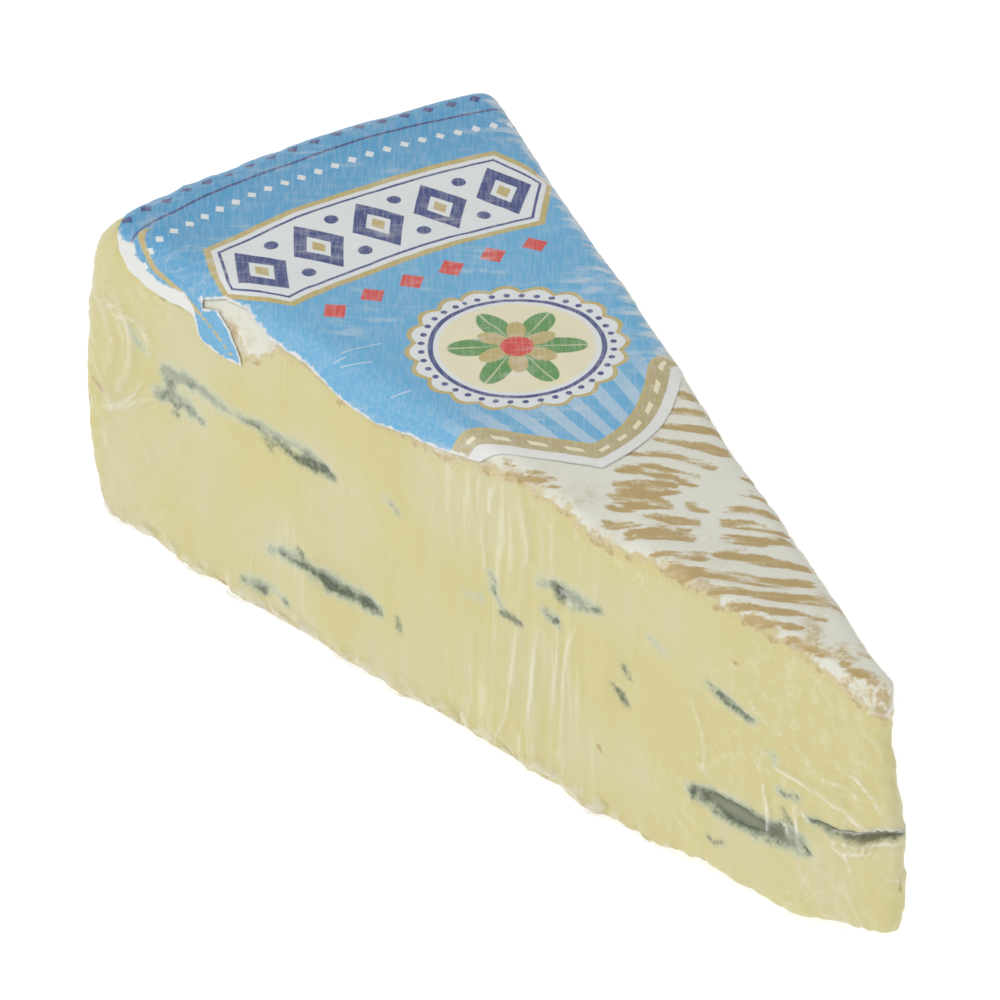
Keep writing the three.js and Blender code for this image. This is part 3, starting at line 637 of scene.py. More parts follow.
class Nodes:
    """Builds a material's nodes: each method adds nodes and gives back the last one's output.

    The materials below call it n, because nearly every line of theirs needs it.
    """

    def __init__(self, name):
        old = bpy.data.materials.get(name)
        if old:
            bpy.data.materials.remove(old)
        self.material = bpy.data.materials.new(name)
        self.material.use_nodes = True
        self.tree = self.material.node_tree
        self.shader = self.tree.nodes["Principled BSDF"]

    def add(self, kind, inputs, **settings):
        node = self.tree.nodes.new(kind)
        for name, value in settings.items():
            setattr(node, name, value)
        for name, value in inputs.items():
            if isinstance(value, bpy.types.NodeSocket):
                self.tree.links.new(value, node.inputs[name])
            else:
                node.inputs[name].default_value = value
        return node

    def sum(self, kind, *values, clamp=False):
        """One step of arithmetic, on one value or two."""
        inputs = dict(enumerate(values))
        return self.add("ShaderNodeMath", inputs, operation=kind, use_clamp=clamp).outputs[0]

    def plus(self, first, second, clamp=False):
        return self.sum("ADD", first, second, clamp=clamp)

    def minus(self, first, second):
        return self.sum("SUBTRACT", first, second)

    def times(self, first, second):
        return self.sum("MULTIPLY", first, second)

    def absolute(self, value):
        return self.sum("ABSOLUTE", value)

    def hypotenuse(self, x, y):
        return self.sum("SQRT", self.plus(self.times(x, x), self.times(y, y)))

    def ease(self, value, low, high, bottom=0.0, top=1.0):
        """bottom at low, top at high, smooth between."""
        if low > high:
            low, high, bottom, top = high, low, top, bottom
        inputs = {"Value": value, "From Min": low, "From Max": high, "To Min": bottom, "To Max": top}
        return self.add("ShaderNodeMapRange", inputs, interpolation_type="SMOOTHSTEP").outputs[0]

    def mix(self, factor, first, second):
        inputs = {0: factor, 6: self.rgba(first), 7: self.rgba(second)}
        return self.add("ShaderNodeMix", inputs, data_type="RGBA").outputs[2]

    def rgba(self, value):
        return value if isinstance(value, bpy.types.NodeSocket) else (*value, 1.0)

    def value(self, name):
        """A number kept for each vertex."""
        return self.add("ShaderNodeAttribute", {}, attribute_name=name).outputs["Fac"]

    def vector(self, name):
        return self.add("ShaderNodeAttribute", {}, attribute_name=name).outputs["Vector"]

    def grain(self, size, detail, long=(1, 1, 1), turn=(0, 0, 0)):
        """Noise from about -0.5 to 0.5, with bumps of about `size` millimetres.

        They are `long` times that along the axes turned by `turn` degrees.
        """
        where = self.add("ShaderNodeTexCoord", {}).outputs["Object"]
        if long != (1, 1, 1):
            turned = [math.radians(angle) for angle in turn]
            inputs = {"Vector": where, "Rotation": turned, "Scale": long}
            where = self.add("ShaderNodeMapping", inputs, vector_type="TEXTURE").outputs[0]
        inputs = {"Vector": where, "Scale": 1 / (size * MM), "Detail": detail}
        return self.minus(self.add("ShaderNodeTexNoise", inputs).outputs[0], 0.5)

    def line(self, value, width):
        """1 where a noise passes through 0, which draws long thin lines, and 0 beside them."""
        return self.ease(self.absolute(value), width, width * 0.25)

    def bump(self, height, distance, strength):
        inputs = {"Height": height, "Distance": distance, "Strength": strength}
        return self.add("ShaderNodeBump", inputs).outputs[0]

    def finish(self, links=(), **settings):
        """Sets the shader's own sockets, and links those that vary."""
        for name, value in settings.items():
            self.shader.inputs[name.replace("_", " ")].default_value = value
        for name, socket in dict(links).items():
            self.tree.links.new(socket, self.shader.inputs[name])
        return self.material


def cheese_material(look):
    n = Nodes("paste_and_rind")
    mould, haze, hollow = n.value("mould"), n.value("haze"), n.value("hollow")
    rind, mark, worn, crumpled = n.value("rind"), n.value("mark"), n.value("worn"), n.value("crumpled")
    ripe, pleat, drawn = n.value("ripe"), n.value("pleat"), n.value("drawn")
    fine, small = n.grain(0.45, 2), n.grain(1.6, 2)
    ragged = n.plus(small, n.times(fine, 0.6))

    # Cream paste, yellower in places. The film's upright pleats are painted onto it: paler on their ridges, a
    # painted highlight, and darker and yellower in their valleys, a painted shade.
    paste = n.mix(n.ease(ripe, -0.6, 0.6), look.paste, look.paste_warm_and_shade)
    fold = n.plus(pleat, n.times(n.grain(0.8, 2, long=(1, 1, 14)), n.times(drawn, 3.0)))
    paste = n.mix(n.ease(fold, 0.2, 1.1, 0.0, 0.55), paste, look.paste_highlight)
    paste = n.mix(n.ease(fold, -0.15, -1.0, 0.0, 0.8), paste, look.paste_warm_and_shade)
    # Where the film is crumpled, its short wrinkles are painted as pale lines, painted highlights, and its
    # blotches as pale and yellower patches, painted light and shade.
    falling = n.line(n.grain(2.0, 0, long=(5, 1, 1), turn=(0, 40, 0)), 0.03)
    rising = n.line(n.grain(2.6, 0, long=(4, 1, 1), turn=(0, -65, 0)), 0.03)
    broken = n.grain(2.4, 0)
    wrinkles = n.times(falling, n.ease(broken, 0.05, 0.15))
    wrinkles = n.sum("MAXIMUM", wrinkles, n.times(rising, n.ease(broken, -0.08, -0.16)))
    patch = n.plus(small, n.times(fine, 0.3))
    mottled = n.ease(patch, -0.02, 0.28, 0.0, 0.3)
    paste = n.mix(n.times(n.ease(patch, 0.06, -0.2, 0.0, 0.55), crumpled), paste, look.paste_warm_and_shade)
    crumple_highlights = n.plus(n.times(wrinkles, 0.22), mottled, clamp=True)
    paste = n.mix(n.times(crumple_highlights, crumpled), paste, look.paste_highlight)

    # Blue mould: a pale tint round it, a soft grey-green haze, then broken dark veins.
    soft = n.plus(haze, n.times(ragged, 1.9))
    tone = n.mix(n.ease(soft, 1.0, -0.4, 0.0, 0.8), paste, look.mould_halo)
    tone = n.mix(n.ease(soft, 0.2, -1.1, 0.0, 0.85), tone, look.mould_grey)
    vein = n.plus(n.sum("MAXIMUM", mould, -0.38), n.times(ragged, 1.15))
    tone = n.mix(n.ease(vein, 0.75, -0.1, 0.0, 0.35), tone, look.mould_grey)
    body = n.mix(n.ease(vein, -0.2, -0.52), look.mould, look.mould_deep)
    bloom = n.ease(n.plus(mould, n.times(ragged, 1.8)), -0.35, -1.0, 0.0, 0.6)
    body = n.mix(bloom, body, look.mould_grey)
    tone = n.mix(n.ease(vein, 0.28, -0.38, 0.0, 0.9), tone, body)
    tone = n.mix(n.times(n.ease(hollow, -0.35, -0.8), n.ease(vein, 0.3, -0.2)), tone, look.hollow)

    # The rind: a frayed tan edge, white down, and the brown marks of the mat.
    skin = n.plus(rind, n.plus(n.times(small, 2.6), n.times(fine, 0.5)))
    edge_tone = n.mix(n.ease(ragged, -0.05, 0.2), look.rind_edge, look.mat_mark)
    tone = n.mix(n.ease(skin, -0.7, 0.0, 0.0, 0.8), tone, edge_tone)
    old = n.times(worn, n.ease(ragged, -0.2, 0.1))
    white = n.mix(n.times(old, 0.9), look.rind, edge_tone)
    tone = n.mix(n.ease(skin, 0.15, 0.6), tone, white)
    streak = n.grain(0.9, 2, long=(5, 1, 1), turn=(0, 0, 48))
    marked = n.plus(n.sum("MAXIMUM", mark, -0.28), n.plus(n.times(streak, 2.0), n.times(fine, 0.5)))
    faded = n.ease(n.plus(streak, n.times(ragged, 0.6)), -0.12, 0.3, 0.0, 0.6)
    brown = n.mix(faded, look.mat_mark, look.rind_edge)
    tone = n.mix(n.ease(marked, 0.24, -0.24, 0.0, 0.96), tone, brown)

    return n.finish(
        {
            "Base Color": tone,
            "Roughness": n.ease(skin, 0.0, 1.0, 0.4, 0.62),
            "Normal": n.bump(fine, 0.00012, 0.4),
        },
        Specular_IOR_Level=0.35,
        Coat_Weight=0.2,
        Coat_Roughness=0.22,
    )


def label_material(look):
    n = Nodes("printed_paper")
    place = n.add("ShaderNodeSeparateXYZ", {0: n.vector("print_place")}).outputs
    # The print's own place is u along and v across. Round the wheel's centre it is turn and reach.
    u, v = place[0], place[1]
    end, torn, crease = n.value("inner_end"), n.value("torn_edge"), n.value("crease")
    turn = n.sum("ARCTAN2", v, n.times(u, -1.0))
    reach = n.hypotenuse(u, v)

    def inside(value, limit=0.0):
        return n.ease(value, limit + CRISP, limit - CRISP)

    def within(value, low, high):
        return n.times(n.ease(value, low - CRISP, low + CRISP), inside(value, high))

    def repeat(value, pitch, shift=0.0):
        """A row's own place: from -pitch / 2 to pitch / 2 in each repeat."""
        turns = n.plus(n.sum("DIVIDE", value, pitch), 0.5 + shift)
        return n.times(n.minus(n.sum("FRACT", turns), 0.5), pitch)

    def lozenge(x, y, wide, high):
        edge = n.plus(n.sum("DIVIDE", n.absolute(x), wide), n.sum("DIVIDE", n.absolute(y), high))
        return n.ease(edge, 1.0 + CRISP / wide, 1.0 - CRISP / wide)

    def disc(middle, radius):
        """How far outside a circle: a row of circles when the middle is a repeat's own place."""
        return n.minus(n.hypotenuse(*middle), radius)

    def arc(radius, pitch, shift=0.0):
        """Places along a row that follows the wheel's round at that radius."""
        return repeat(n.times(turn, radius), pitch, shift), n.minus(reach, radius)

    ground = n.mix(n.ease(reach, 96, 128), look.field, look.field_back)
    rays = repeat(n.times(turn, 100.0), 5.2)
    pale_ray = n.times(n.ease(n.absolute(rays), 1.35, 1.25), n.ease(reach, 74.0, 60.0))
    ground = n.mix(n.times(pale_ray, 0.4), ground, look.band)

    # A white plaque with pointed ends and a gold rim, with navy lozenges and dots on it.
    x, y = n.times(turn, PLAQUE_RADIUS), n.absolute(n.minus(reach, PLAQUE_RADIUS))
    ends = n.minus(n.plus(n.absolute(x), n.times(y, 0.55)), PLAQUE_HALF_LENGTH)
    plaque = n.sum("MAXIMUM", n.minus(y, PLAQUE_HALF_HEIGHT), ends)
    paint = n.mix(inside(plaque, 0.9), ground, look.gold)
    paint = n.mix(inside(plaque), paint, look.band)
    paint = n.mix(within(plaque, -1.15, -0.75), paint, look.navy)
    on_plaque = n.ease(plaque, -1.5, -1.6)
    x, y = arc(PLAQUE_RADIUS, LOZENGE_PITCH)
    for wide, high, shade in ((3.5, 5.0, look.navy), (1.7, 2.4, look.band), (0.9, 1.3, look.gold)):
        paint = n.mix(n.times(lozenge(x, y, wide, high), on_plaque), paint, shade)
    for radius in (101.4, 108.6):
        dots = inside(disc(arc(radius, LOZENGE_PITCH * radius / PLAQUE_RADIUS, 0.5), 0.85))
        paint = n.mix(n.times(dots, on_plaque), paint, look.navy)

    # Rows of small marks behind the plaque, and a short one of red lozenges in front of it.
    for radius, pitch, size, shade in ((118.6, 2.3, 0.62, look.band), (124.6, 3.0, 0.8, look.navy)):
        x, y = arc(radius, pitch)
        paint = n.mix(lozenge(x, y, size, size * 1.2), paint, shade)
    paint = n.mix(within(reach, 121.6, 122.0), paint, look.navy)
    x, y = arc(93.2, 5.4, 0.5)
    short = n.ease(n.absolute(turn), 0.175, 0.172)
    paint = n.mix(n.times(lozenge(x, y, 1.7, 1.7), short), paint, look.red)

    # A scalloped rosette with leaves.
    middle = (n.minus(u, ROSETTE_CENTRE[0]), n.minus(v, ROSETTE_CENTRE[1]))
    around = n.sum("ARCTAN2", middle[1], middle[0])
    out = n.hypotenuse(*middle)

    def wave(kind, turns):
        """Goes between 0 and 1, twice as often round the rosette as `turns`."""
        return n.absolute(n.sum(kind, n.times(around, turns)))

    scallop = n.plus(out, n.times(wave("SINE", 10.0), -0.9))
    paint = n.mix(inside(scallop, ROSETTE_RADIUS), paint, look.gold)
    paint = n.mix(inside(scallop, ROSETTE_RADIUS - 0.6), paint, look.band)
    paint = n.mix(within(out, 9.6, 10.2), paint, look.navy)
    bead = repeat(n.times(around, BEAD_RING), BEAD_RING * math.tau / BEADS)
    paint = n.mix(inside(disc((bead, n.minus(out, BEAD_RING - 0.15)), 0.38)), paint, look.navy)
    paint = n.mix(inside(out, 9.0), paint, look.cream)
    leaf = n.minus(out, n.times(n.sum("POWER", wave("COSINE", 3.0), 0.8), 8.0))
    vein = n.times(n.ease(wave("SINE", 3.0), 0.07, 0.04), 0.6)
    paint = n.mix(n.ease(leaf, 0.2, -0.2), paint, n.mix(vein, look.green, look.cream))
    petal = n.minus(out, n.times(n.sum("POWER", wave("SINE", 3.0), 0.6), 5.0))
    paint = n.mix(n.ease(petal, 0.15, -0.15), paint, look.gold)
    paint = n.mix(inside(out, 1.9), paint, look.red)

    # The border round the inner end, the fold by the torn edge, and that edge's bare fibres.
    paint = n.mix(inside(end, 3.9), paint, look.gold)
    paint = n.mix(inside(end, 3.5), paint, look.tan)
    dashes = n.times(within(end, 2.1, 2.7), n.ease(n.sum("SINE", n.times(v, 2.2)), -0.1, 0.1))
    paint = n.mix(dashes, paint, look.cream)
    paint = n.mix(inside(end, 1.3), paint, look.bare)
    paint = n.mix(inside(n.absolute(n.minus(crease, 0.1)), 0.12), paint, look.gold)
    fibres = n.plus(torn, n.times(n.grain(0.7, 3), 0.9))
    paint = n.mix(n.ease(fibres, 0.25, -0.05), paint, look.bare)

    # The paper's weave, rubbed places, the film's wrinkles as pale lines that are painted highlights, a paler
    # band along the far rim that is a painted sheen, and the film's scratches over the print.
    weave = n.grain(0.3, 0, long=(8, 1, 1), turn=(0, 0, -32))
    paint = n.mix(n.ease(weave, -0.15, 0.25, 0.0, 0.13), paint, look.bare)
    cloud = n.grain(1.5, 3, long=(2.5, 1, 1), turn=(0, 0, 60))
    patches = n.ease(n.grain(9, 1), -0.15, 0.15, 0.1, 1.0)
    # The film's wrinkles are drawn as faint pale lines on the print: painted highlights.
    wrinkles = n.line(n.grain(2.2, 0, long=(9, 1, 1), turn=(0, 0, 55)), 0.03)
    rubbed = n.plus(n.times(wrinkles, 0.15), n.ease(cloud, -0.02, 0.25, 0.0, 0.34))
    paint = n.mix(n.times(rubbed, patches), paint, look.bare)
    # Paler paper along the far rim: a painted sheen of the film where it bends over the rim.
    worn = n.minus(n.value("far_rim"), n.times(cloud, 7.0))
    paint = n.mix(n.ease(worn, 1.8, -0.6, 0.0, 0.7), paint, look.bare)
    for (x0, y0), (x1, y1) in LABEL_SCRATCHES:
        long = math.hypot(x1 - x0, y1 - y0)
        east, north = (x1 - x0) / long, (y1 - y0) / long
        du, dv = n.minus(u, x0), n.minus(v, y0)
        along = n.plus(n.times(du, east), n.times(dv, north))
        across = n.minus(n.times(du, north), n.times(dv, east))
        scratch = n.times(within(along, 0.0, long), n.ease(n.absolute(across), 0.13, 0.03))
        paint = n.mix(n.times(scratch, 0.6), paint, look.bare)

    return n.finish(
        {"Base Color": paint, "Normal": n.bump(n.grain(3.5, 1), 0.0003, 0.4)},
        Roughness=0.42,
        Specular_IOR_Level=0.4,
    )


def film_material(look):
    n = Nodes("clear_film")
    # The film's alpha: its haze where it stands free, plus a painted sheen that whitens it towards grazing
    # angles, standing in for its reflection of the white surroundings.
    grazing_sheen = n.add("ShaderNodeLayerWeight", {"Blend": 0.25}).outputs["Fresnel"]
    milky = n.plus(n.times(n.value("standing_free"), look.haze), n.times(grazing_sheen, 0.08))
    # The thin creases drawn as white lines on the film: painted highlights.
    lines = n.times(n.ease(n.value("crease"), 0.2, -0.15), n.value("crease_white"))
    seen = n.plus(milky, lines, clamp=True)
    return n.finish(
        {"Alpha": seen},
        Base_Color=(0.9, 0.89, 0.84, 1.0),
        Roughness=look.roughness,
        IOR=1.5,
        Coat_Weight=0.6,
        Coat_Roughness=0.12,
    )


def floor_material(look):
    n = Nodes("pale_floor")
    return n.finish(
        Base_Color=(*look.floor, 1.0),
        Roughness=0.9,
        Specular_IOR_Level=0.1,
        Emission_Color=(1, 1, 1, 1),
        Emission_Strength=look.floor_glow,
    )


# ---------------------------------------------------------------- the pieces


def closed_skin(name, grain, span, out):
    """The CAD cheese meshed in even squares with its hollows closed, and moved out by `out`.

    Moving far out, meshing again and moving back closes them, as stretched film does.
    """
    piece = merged_copy("cheese", name)
    apply(piece, "DISPLACE", strength=span, mid_level=0.0)
    apply(piece, "REMESH", mode="VOXEL", voxel_size=grain, use_smooth_shade=True)
    apply(piece, "SMOOTH", factor=0.5, iterations=6)
    apply(piece, "DISPLACE", strength=out - span, mid_level=0.0)
    apply(piece, "SMOOTH", factor=0.5, iterations=6)
    return piece


def hollow_depth(face, hollows):
    """How deep the hollows are at each place, in millimetres."""
    deepest = np.zeros(len(face))
    for depth, stroke in hollows:
        deepest = np.maximum(deepest, depth * ease(from_strokes(face, curves([stroke])), 0.3, -0.4))
    return deepest


def bottom_waves(points, normals):
    """The soft paste's wavy lower edge, which the film's gathers have pressed into it."""
    low = ease(points[:, 2], 7.0, 1.5) * ease(np.abs(normals[:, 2]), 0.95, 0.5)
    more_by_tip = 1 + 0.4 * ease(points[:, 0], -35, -15)
    upright = (1, 1, 0.5)
    waves = 0.8 * unevenness(points, 6.5, 3.9, upright) + 0.35 * unevenness(points, 2.6, 8.3, upright)
    return low * more_by_tip * waves


def crumples(points, face):
    """Where the film lies in small wrinkles, from 0 to 1.

    They are at the rind corner, round the tip and in patches along the face.
    """
    ends = np.maximum(ease(face[:, 0], 15, 3), ease(face[:, 0], 84, 112))
    patches = ease(unevenness(points, 11.0, 6.1), -0.25, 0.3)
    edges = 0.7 * np.maximum(ease(points[:, 2], 33, 38), ease(points[:, 2], 6, 2))
    return np.clip(np.maximum(ends, edges) * (0.4 + 0.6 * patches) + 0.45 * patches, 0, 1)


def hump(value, middle, width):
    """1 at the middle, and dying away over the width on both sides."""
    return np.exp(-(((value - middle) / width) ** 2))


def gathered(points, face):
    """How strongly the film is gathered into upright pleats, which it is most in the middle of the face."""
    along, height = face[:, 0], points[:, 2]
    middle = hump(along, 71, 11) + 0.5 * hump(along, 32, 12)
    upper = 0.5 * hump(along, 60, 9) * ease(height, 20, 34)
    lower = 0.4 * hump(along, 75, 6) * ease(height, 24, 16)
    return 0.15 + middle + upper + lower


def pleats(points, face):
    """The upright pleats, which the paste takes on: 1 on a ridge and -1 in a valley."""
    ridges = unevenness(points, 1.15, 0.0, (1, 1, 0.05)) + 0.6 * unevenness(points, 2.7, 3.0, (1, 1, 0.07))
    return gathered(points, face) * ridges


def film_place(face, near):
    """Where each place is among FOLDS and CREASES, which the far face has upside down."""
    upside_down = np.column_stack((face[:, 0] - FAR_FILM_SHIFT, RIM_HEIGHT - face[:, 1]))
    return np.where(near[:, None], face, upside_down)


def crease_gap(face, near):
    """How far each place is outside the nearest thin crease, and less than 0 inside it."""
    gap = from_strokes(film_place(face, near), curves(CREASES))
    return gap + np.where(near, 0, 3 * ease(face[:, 0], 104, 112))


def ridge_height(face, near):
    """How proud the film's folds and creases are at each place. Film and paste each take a share of it."""
    height = 0.3 * ease(crease_gap(face, near), 0.4, -0.2)
    place = film_place(face, near)
    for proud, stroke in FOLDS:
        height = np.maximum(height, proud * ease(from_strokes(place, curves([stroke])), 0.35, -0.45))
    return height * np.where(near, 1, ease(face[:, 0], 112, 104))


def ragged_ends(points, face):
    """The small knobs that the film presses into the paste at the faces' ends and along the lower edge."""
    ends = np.maximum(ease(face[:, 0], 8, -1), ease(face[:, 0], 104, 119))
    low = ease(points[:, 2], 4.0, 1.5)
    knobs = 0.6 * unevenness(points, 2.3, 7.1) + 0.45 * unevenness(points, 1.2, 2.2)
    return np.maximum(0.45 * ends, low) * knobs


def cheese_piece(settings):
    piece = closed_skin("paste_and_rind", settings.grain, settings.bridging, -settings.drawn_in)
    mesh = piece.data
    points, normals = places(mesh), outwards(mesh)
    face = on_face(points)
    near = is_near(points, face)
    rind = rind_depth(points)
    cut = ease(rind, 0.0, -1.0)
    depth = cut * np.where(near, hollow_depth(face, NEAR_HOLLOWS), hollow_depth(face, FAR_HOLLOWS))
    mould = np.where(near, *(from_strokes(face, curves(side)) for side in (NEAR_MOULD, FAR_MOULD)))
    # The far face's haze is a wider copy of its mould, a little higher up.
    far_haze = from_strokes(face - (0.0, 0.4), FAR_MOULD) - 0.45
    haze = np.where(near, from_strokes(face, curves(NEAR_HAZE)), far_haze)
    mould, haze = (np.where(cut > 0, value, FAR_OUTSIDE) for value in (mould, haze))
    specks = np.where(near, from_strokes(face, NEAR_SPECKS), FAR_OUTSIDE)
    mark = np.where(cut > 0.3, specks, mat_marks(points))
    patchy = ease(unevenness(points, 3.6, 9.9), -0.2, 0.25)
    notch = ease(from_strokes(face, [RIND_NOTCH]), 0.8, -0.8)
    worn = patchy * np.maximum(0.9 * ease(face[:, 0], 98, 117), 0.8 * ease(np.abs(rind - 0.3), 1.1, 0.3))
    worn = np.maximum(worn, np.where(near, 0.3 + 0.7 * patchy, 0.0) * notch)
    # The pleats' painted light and shade for the paste's colour: paler on ridges and creases, darker in the
    # valleys.
    valleys = np.where(near, ease(from_strokes(face, curves(VALLEYS)), 0.5, -0.3), 0.0)
    on_creases = ease(crease_gap(face, near), 0.6, -0.2)
    upright = pleats(points, face)
    pleat = cut * (upright + 0.6 * on_creases - valleys)
    crumpled = crumples(points, face)

    # Hollows where the mould is, lumps in the paste, a downy rind with the mat's marks pressed into it.
    relief = -depth - 0.06 * cut * ease(mould, 0.3, -0.3)
    relief += cut * (0.12 * unevenness(points, 7.0, 5.2) + 0.05 * unevenness(points, 1.9, 1.1))
    relief += cut * (0.13 * upright + 0.3 * ridge_height(face, near) - 0.1 * valleys)
    relief += 0.14 * cut * crumpled * unevenness(points, 1.5, 2.8)
    downy = 1 - cut
    relief += downy * (0.07 * unevenness(points, 2.4, 7.7) + 0.05 * unevenness(points, 0.9, 4.2))
    relief += -0.12 * downy * ease(mark, 0.3, -0.25)
    relief += 0.2 * ease(np.abs(rind - 0.2), 1.5, 0.2) * unevenness(points, 1.7, 9.4)
    relief += bottom_waves(points, normals) + cut * ragged_ends(points, face)
    points += normals * relief[:, None]
    points[:, 2] = np.maximum(points[:, 2], 0.2)
    put_places(mesh, points)

    # The paste is yellower in broad patches, in small upright ones, and towards the tip.
    ripe = 1.6 * unevenness(points, 12.0, 0.7) + 0.5 * unevenness(points, 3.0, 2.9, (1, 1, 0.3))
    ripe += 0.5 * ease(face[:, 0], 70, 95) * ease(face[:, 0], 128, 122)
    kept = {"mould": mould, "haze": haze, "hollow": -depth, "rind": rind, "mark": mark, "worn": worn}
    kept |= {"crumpled": crumpled, "pleat": pleat, "drawn": cut * gathered(points, face), "ripe": ripe}
    for name, values in kept.items():
        note(mesh, name, values)
    mesh.materials.append(cheese_material(settings))
    return piece


def prism(name, outline, low, high, axis):
    """A closed prism of an outline, in millimetres round the wheel's centre.

    Along "z" the outline is seen from above, and along "y" from the near side.
    """
    flat = [(x, second, low) if axis == "z" else (x, low, second) for x, second in outline]
    mesh = bpy.data.meshes.new(name)
    mesh.from_pydata([tuple((np.array(p) + WHEEL_CENTRE) * MM) for p in flat], [], [list(range(len(flat)))])
    piece = alone(fresh(name, mesh))
    bpy.ops.object.mode_set(mode="EDIT")
    bpy.ops.mesh.select_all(action="SELECT")
    move = (0, 0, (high - low) * MM) if axis == "z" else (0, (high - low) * MM, 0)
    bpy.ops.mesh.extrude_region_move(TRANSFORM_OT_translate={"value": move})
    bpy.ops.mesh.select_all(action="SELECT")
    bpy.ops.mesh.normals_make_consistent(inside=False)
    bpy.ops.object.mode_set(mode="OBJECT")
    return piece


def round_end(steps=14):
    """The label's round inner end, from its folded corner to the far rim, seen from above."""
    a, b, c = (np.array(p) for p in (LABEL_FOLD_CORNER, LABEL_ROUND_PULL, LABEL_ROUND_END))
    return [tuple((1 - t) ** 2 * a + 2 * t * (1 - t) * b + t * t * c) for t in np.linspace(0, 1, steps)]


def under(edge):
    """The outline of all that lies under an edge, to well below the label."""
    return [(edge[0][0], 10), *edge, (edge[-1][0], 10)]


def thin(line):
    """The line as a stroke without width."""
    return [(*place, 0.0) for place in line]


def label_piece(settings):
    cheese = bpy.data.objects.get("paste_and_rind")
    if cheese is None:
        raise RuntimeError("make the cheese before its label")
    piece = fresh("label_paper", cheese.data.copy())
    piece.data.materials.clear()
    printed, cutting = (bpy.data.materials.new(name) for name in ("kept", "cutting"))
    piece.data.materials.append(printed)

    def rim_at(x):
        """The far rim seen from above, less its soft corner."""
        return -x * math.tan(HALF_ANGLE) + TIP_HALF_WIDTH - 0.7

    # Seen from above: over the rind side, along the fold and the round inner end, and back over the far rim.
    plan = [*LABEL_NEAR_CORNER, (LABEL_FOLD_START[0], -40), LABEL_FOLD_START]
    plan += [*round_end(), (-123, rim_at(-123)), *LABEL_FAR_CORNER]
    torn = [*LABEL_TORN_EDGE, *LABEL_TONGUE, *LABEL_FRONT_EDGE]
    cutters = [
        ("INTERSECT", prism("plan", plan, 20, 50, "z")),
        ("DIFFERENCE", prism("below_torn_edge", under([*torn, (-45, 39.2)]), -45, 0, "y")),
        ("DIFFERENCE", prism("below_far_edge", under(LABEL_FAR_EDGE), 0, 45, "y")),
        ("DIFFERENCE", prism("below_back_edge", under(LABEL_BACK_EDGE), -45, 45, "y")),
    ]
    how = {"solver": "MANIFOLD", "material_mode": "TRANSFER"}
    for operation, cutter in cutters:
        cutter.data.materials.append(cutting)
        apply(piece, "BOOLEAN", object=cutter, operation=operation, **how)
        bpy.data.meshes.remove(cutter.data)

    # Only what lay on the cheese's skin is kept.
    alone(piece)
    kept = [slot for slot, material in enumerate(piece.data.materials) if material == printed]
    bpy.ops.object.mode_set(mode="EDIT")
    bpy.ops.mesh.select_all(action="DESELECT")
    bpy.ops.object.mode_set(mode="OBJECT")
    index = np.empty(len(piece.data.polygons), np.int32)
    piece.data.polygons.foreach_get("material_index", index)
    piece.data.polygons.foreach_set("select", ~np.isin(index, kept))
    bpy.ops.object.mode_set(mode="EDIT")
    bpy.ops.mesh.select_mode(type="FACE")
    bpy.ops.mesh.delete(type="FACE")
    bpy.ops.mesh.select_mode(type="VERT")
    bpy.ops.object.mode_set(mode="OBJECT")
    piece.data.materials.clear()
    forget(piece.data)
    apply(piece, "SMOOTH", factor=0.3, iterations=2, use_x=False, use_y=False)

    mesh = piece.data
    points, normals = places(mesh), outwards(mesh)
    end_line = thin([LABEL_FOLD_START, LABEL_FOLD_CORNER, *round_end()])
    inner_end = from_strokes(points[:, :2], [end_line], LABEL_REACH)
    side_on = points[:, [0, 2]]
    at_near_rim = points[:, 1] < -8
    torn_edge = from_strokes(side_on, [thin(torn)], LABEL_REACH)
    torn_edge = np.where(at_near_rim & (points[:, 0] > -121.5), torn_edge, LABEL_REACH)
    crease = from_strokes(side_on, curves([thin(LABEL_CREASE)]), LABEL_REACH)
    crease = np.where(at_near_rim, crease, LABEL_REACH)
    fringe = 0.1 + 1.5 * ease(points[:, 0], -105, -108) * ease(points[:, 0], -121, -118)
    cockle = 0.10 * unevenness(points, 8.0, 2.2, (1, 1.6, 1)) + 0.04 * unevenness(points, 2.5, 6.0)
    lift = settings.lift / MM + np.maximum(cockle, -0.04) + 0.12 * ease(torn_edge, 0.8, 0.0)
    lift += 0.12 * ease(np.abs(crease), 0.6, 0.0)
    points += normals * lift[:, None]
    put_places(mesh, points)

    # The print's own place runs on over the rims, as it would on flat paper.
    drop = np.maximum(RIM_HEIGHT - 0.2 - points[:, 2], 0)
    at_back = ease(points[:, 0], -119, -124)
    u = points[:, 0] - drop * at_back
    v = points[:, 1] + np.sign(points[:, 1]) * drop * 0.9 * (1 - at_back)
    note(mesh, "print_place", np.column_stack((u, v, np.zeros(len(u)))))
    note(mesh, "inner_end", inner_end)
    note(mesh, "torn_edge", torn_edge - fringe)
    note(mesh, "crease", crease)
    note(mesh, "far_rim", rim_at(points[:, 0]) - points[:, 1])
    apply(piece, "SOLIDIFY", thickness=settings.paper, offset=1.0, use_even_offset=False)
    alone(piece)
    bpy.ops.object.shade_smooth_by_angle(angle=math.radians(50))
    piece.data.materials.append(label_material(settings))
    for helper in (printed, cutting):
        bpy.data.materials.remove(helper)
    return piece


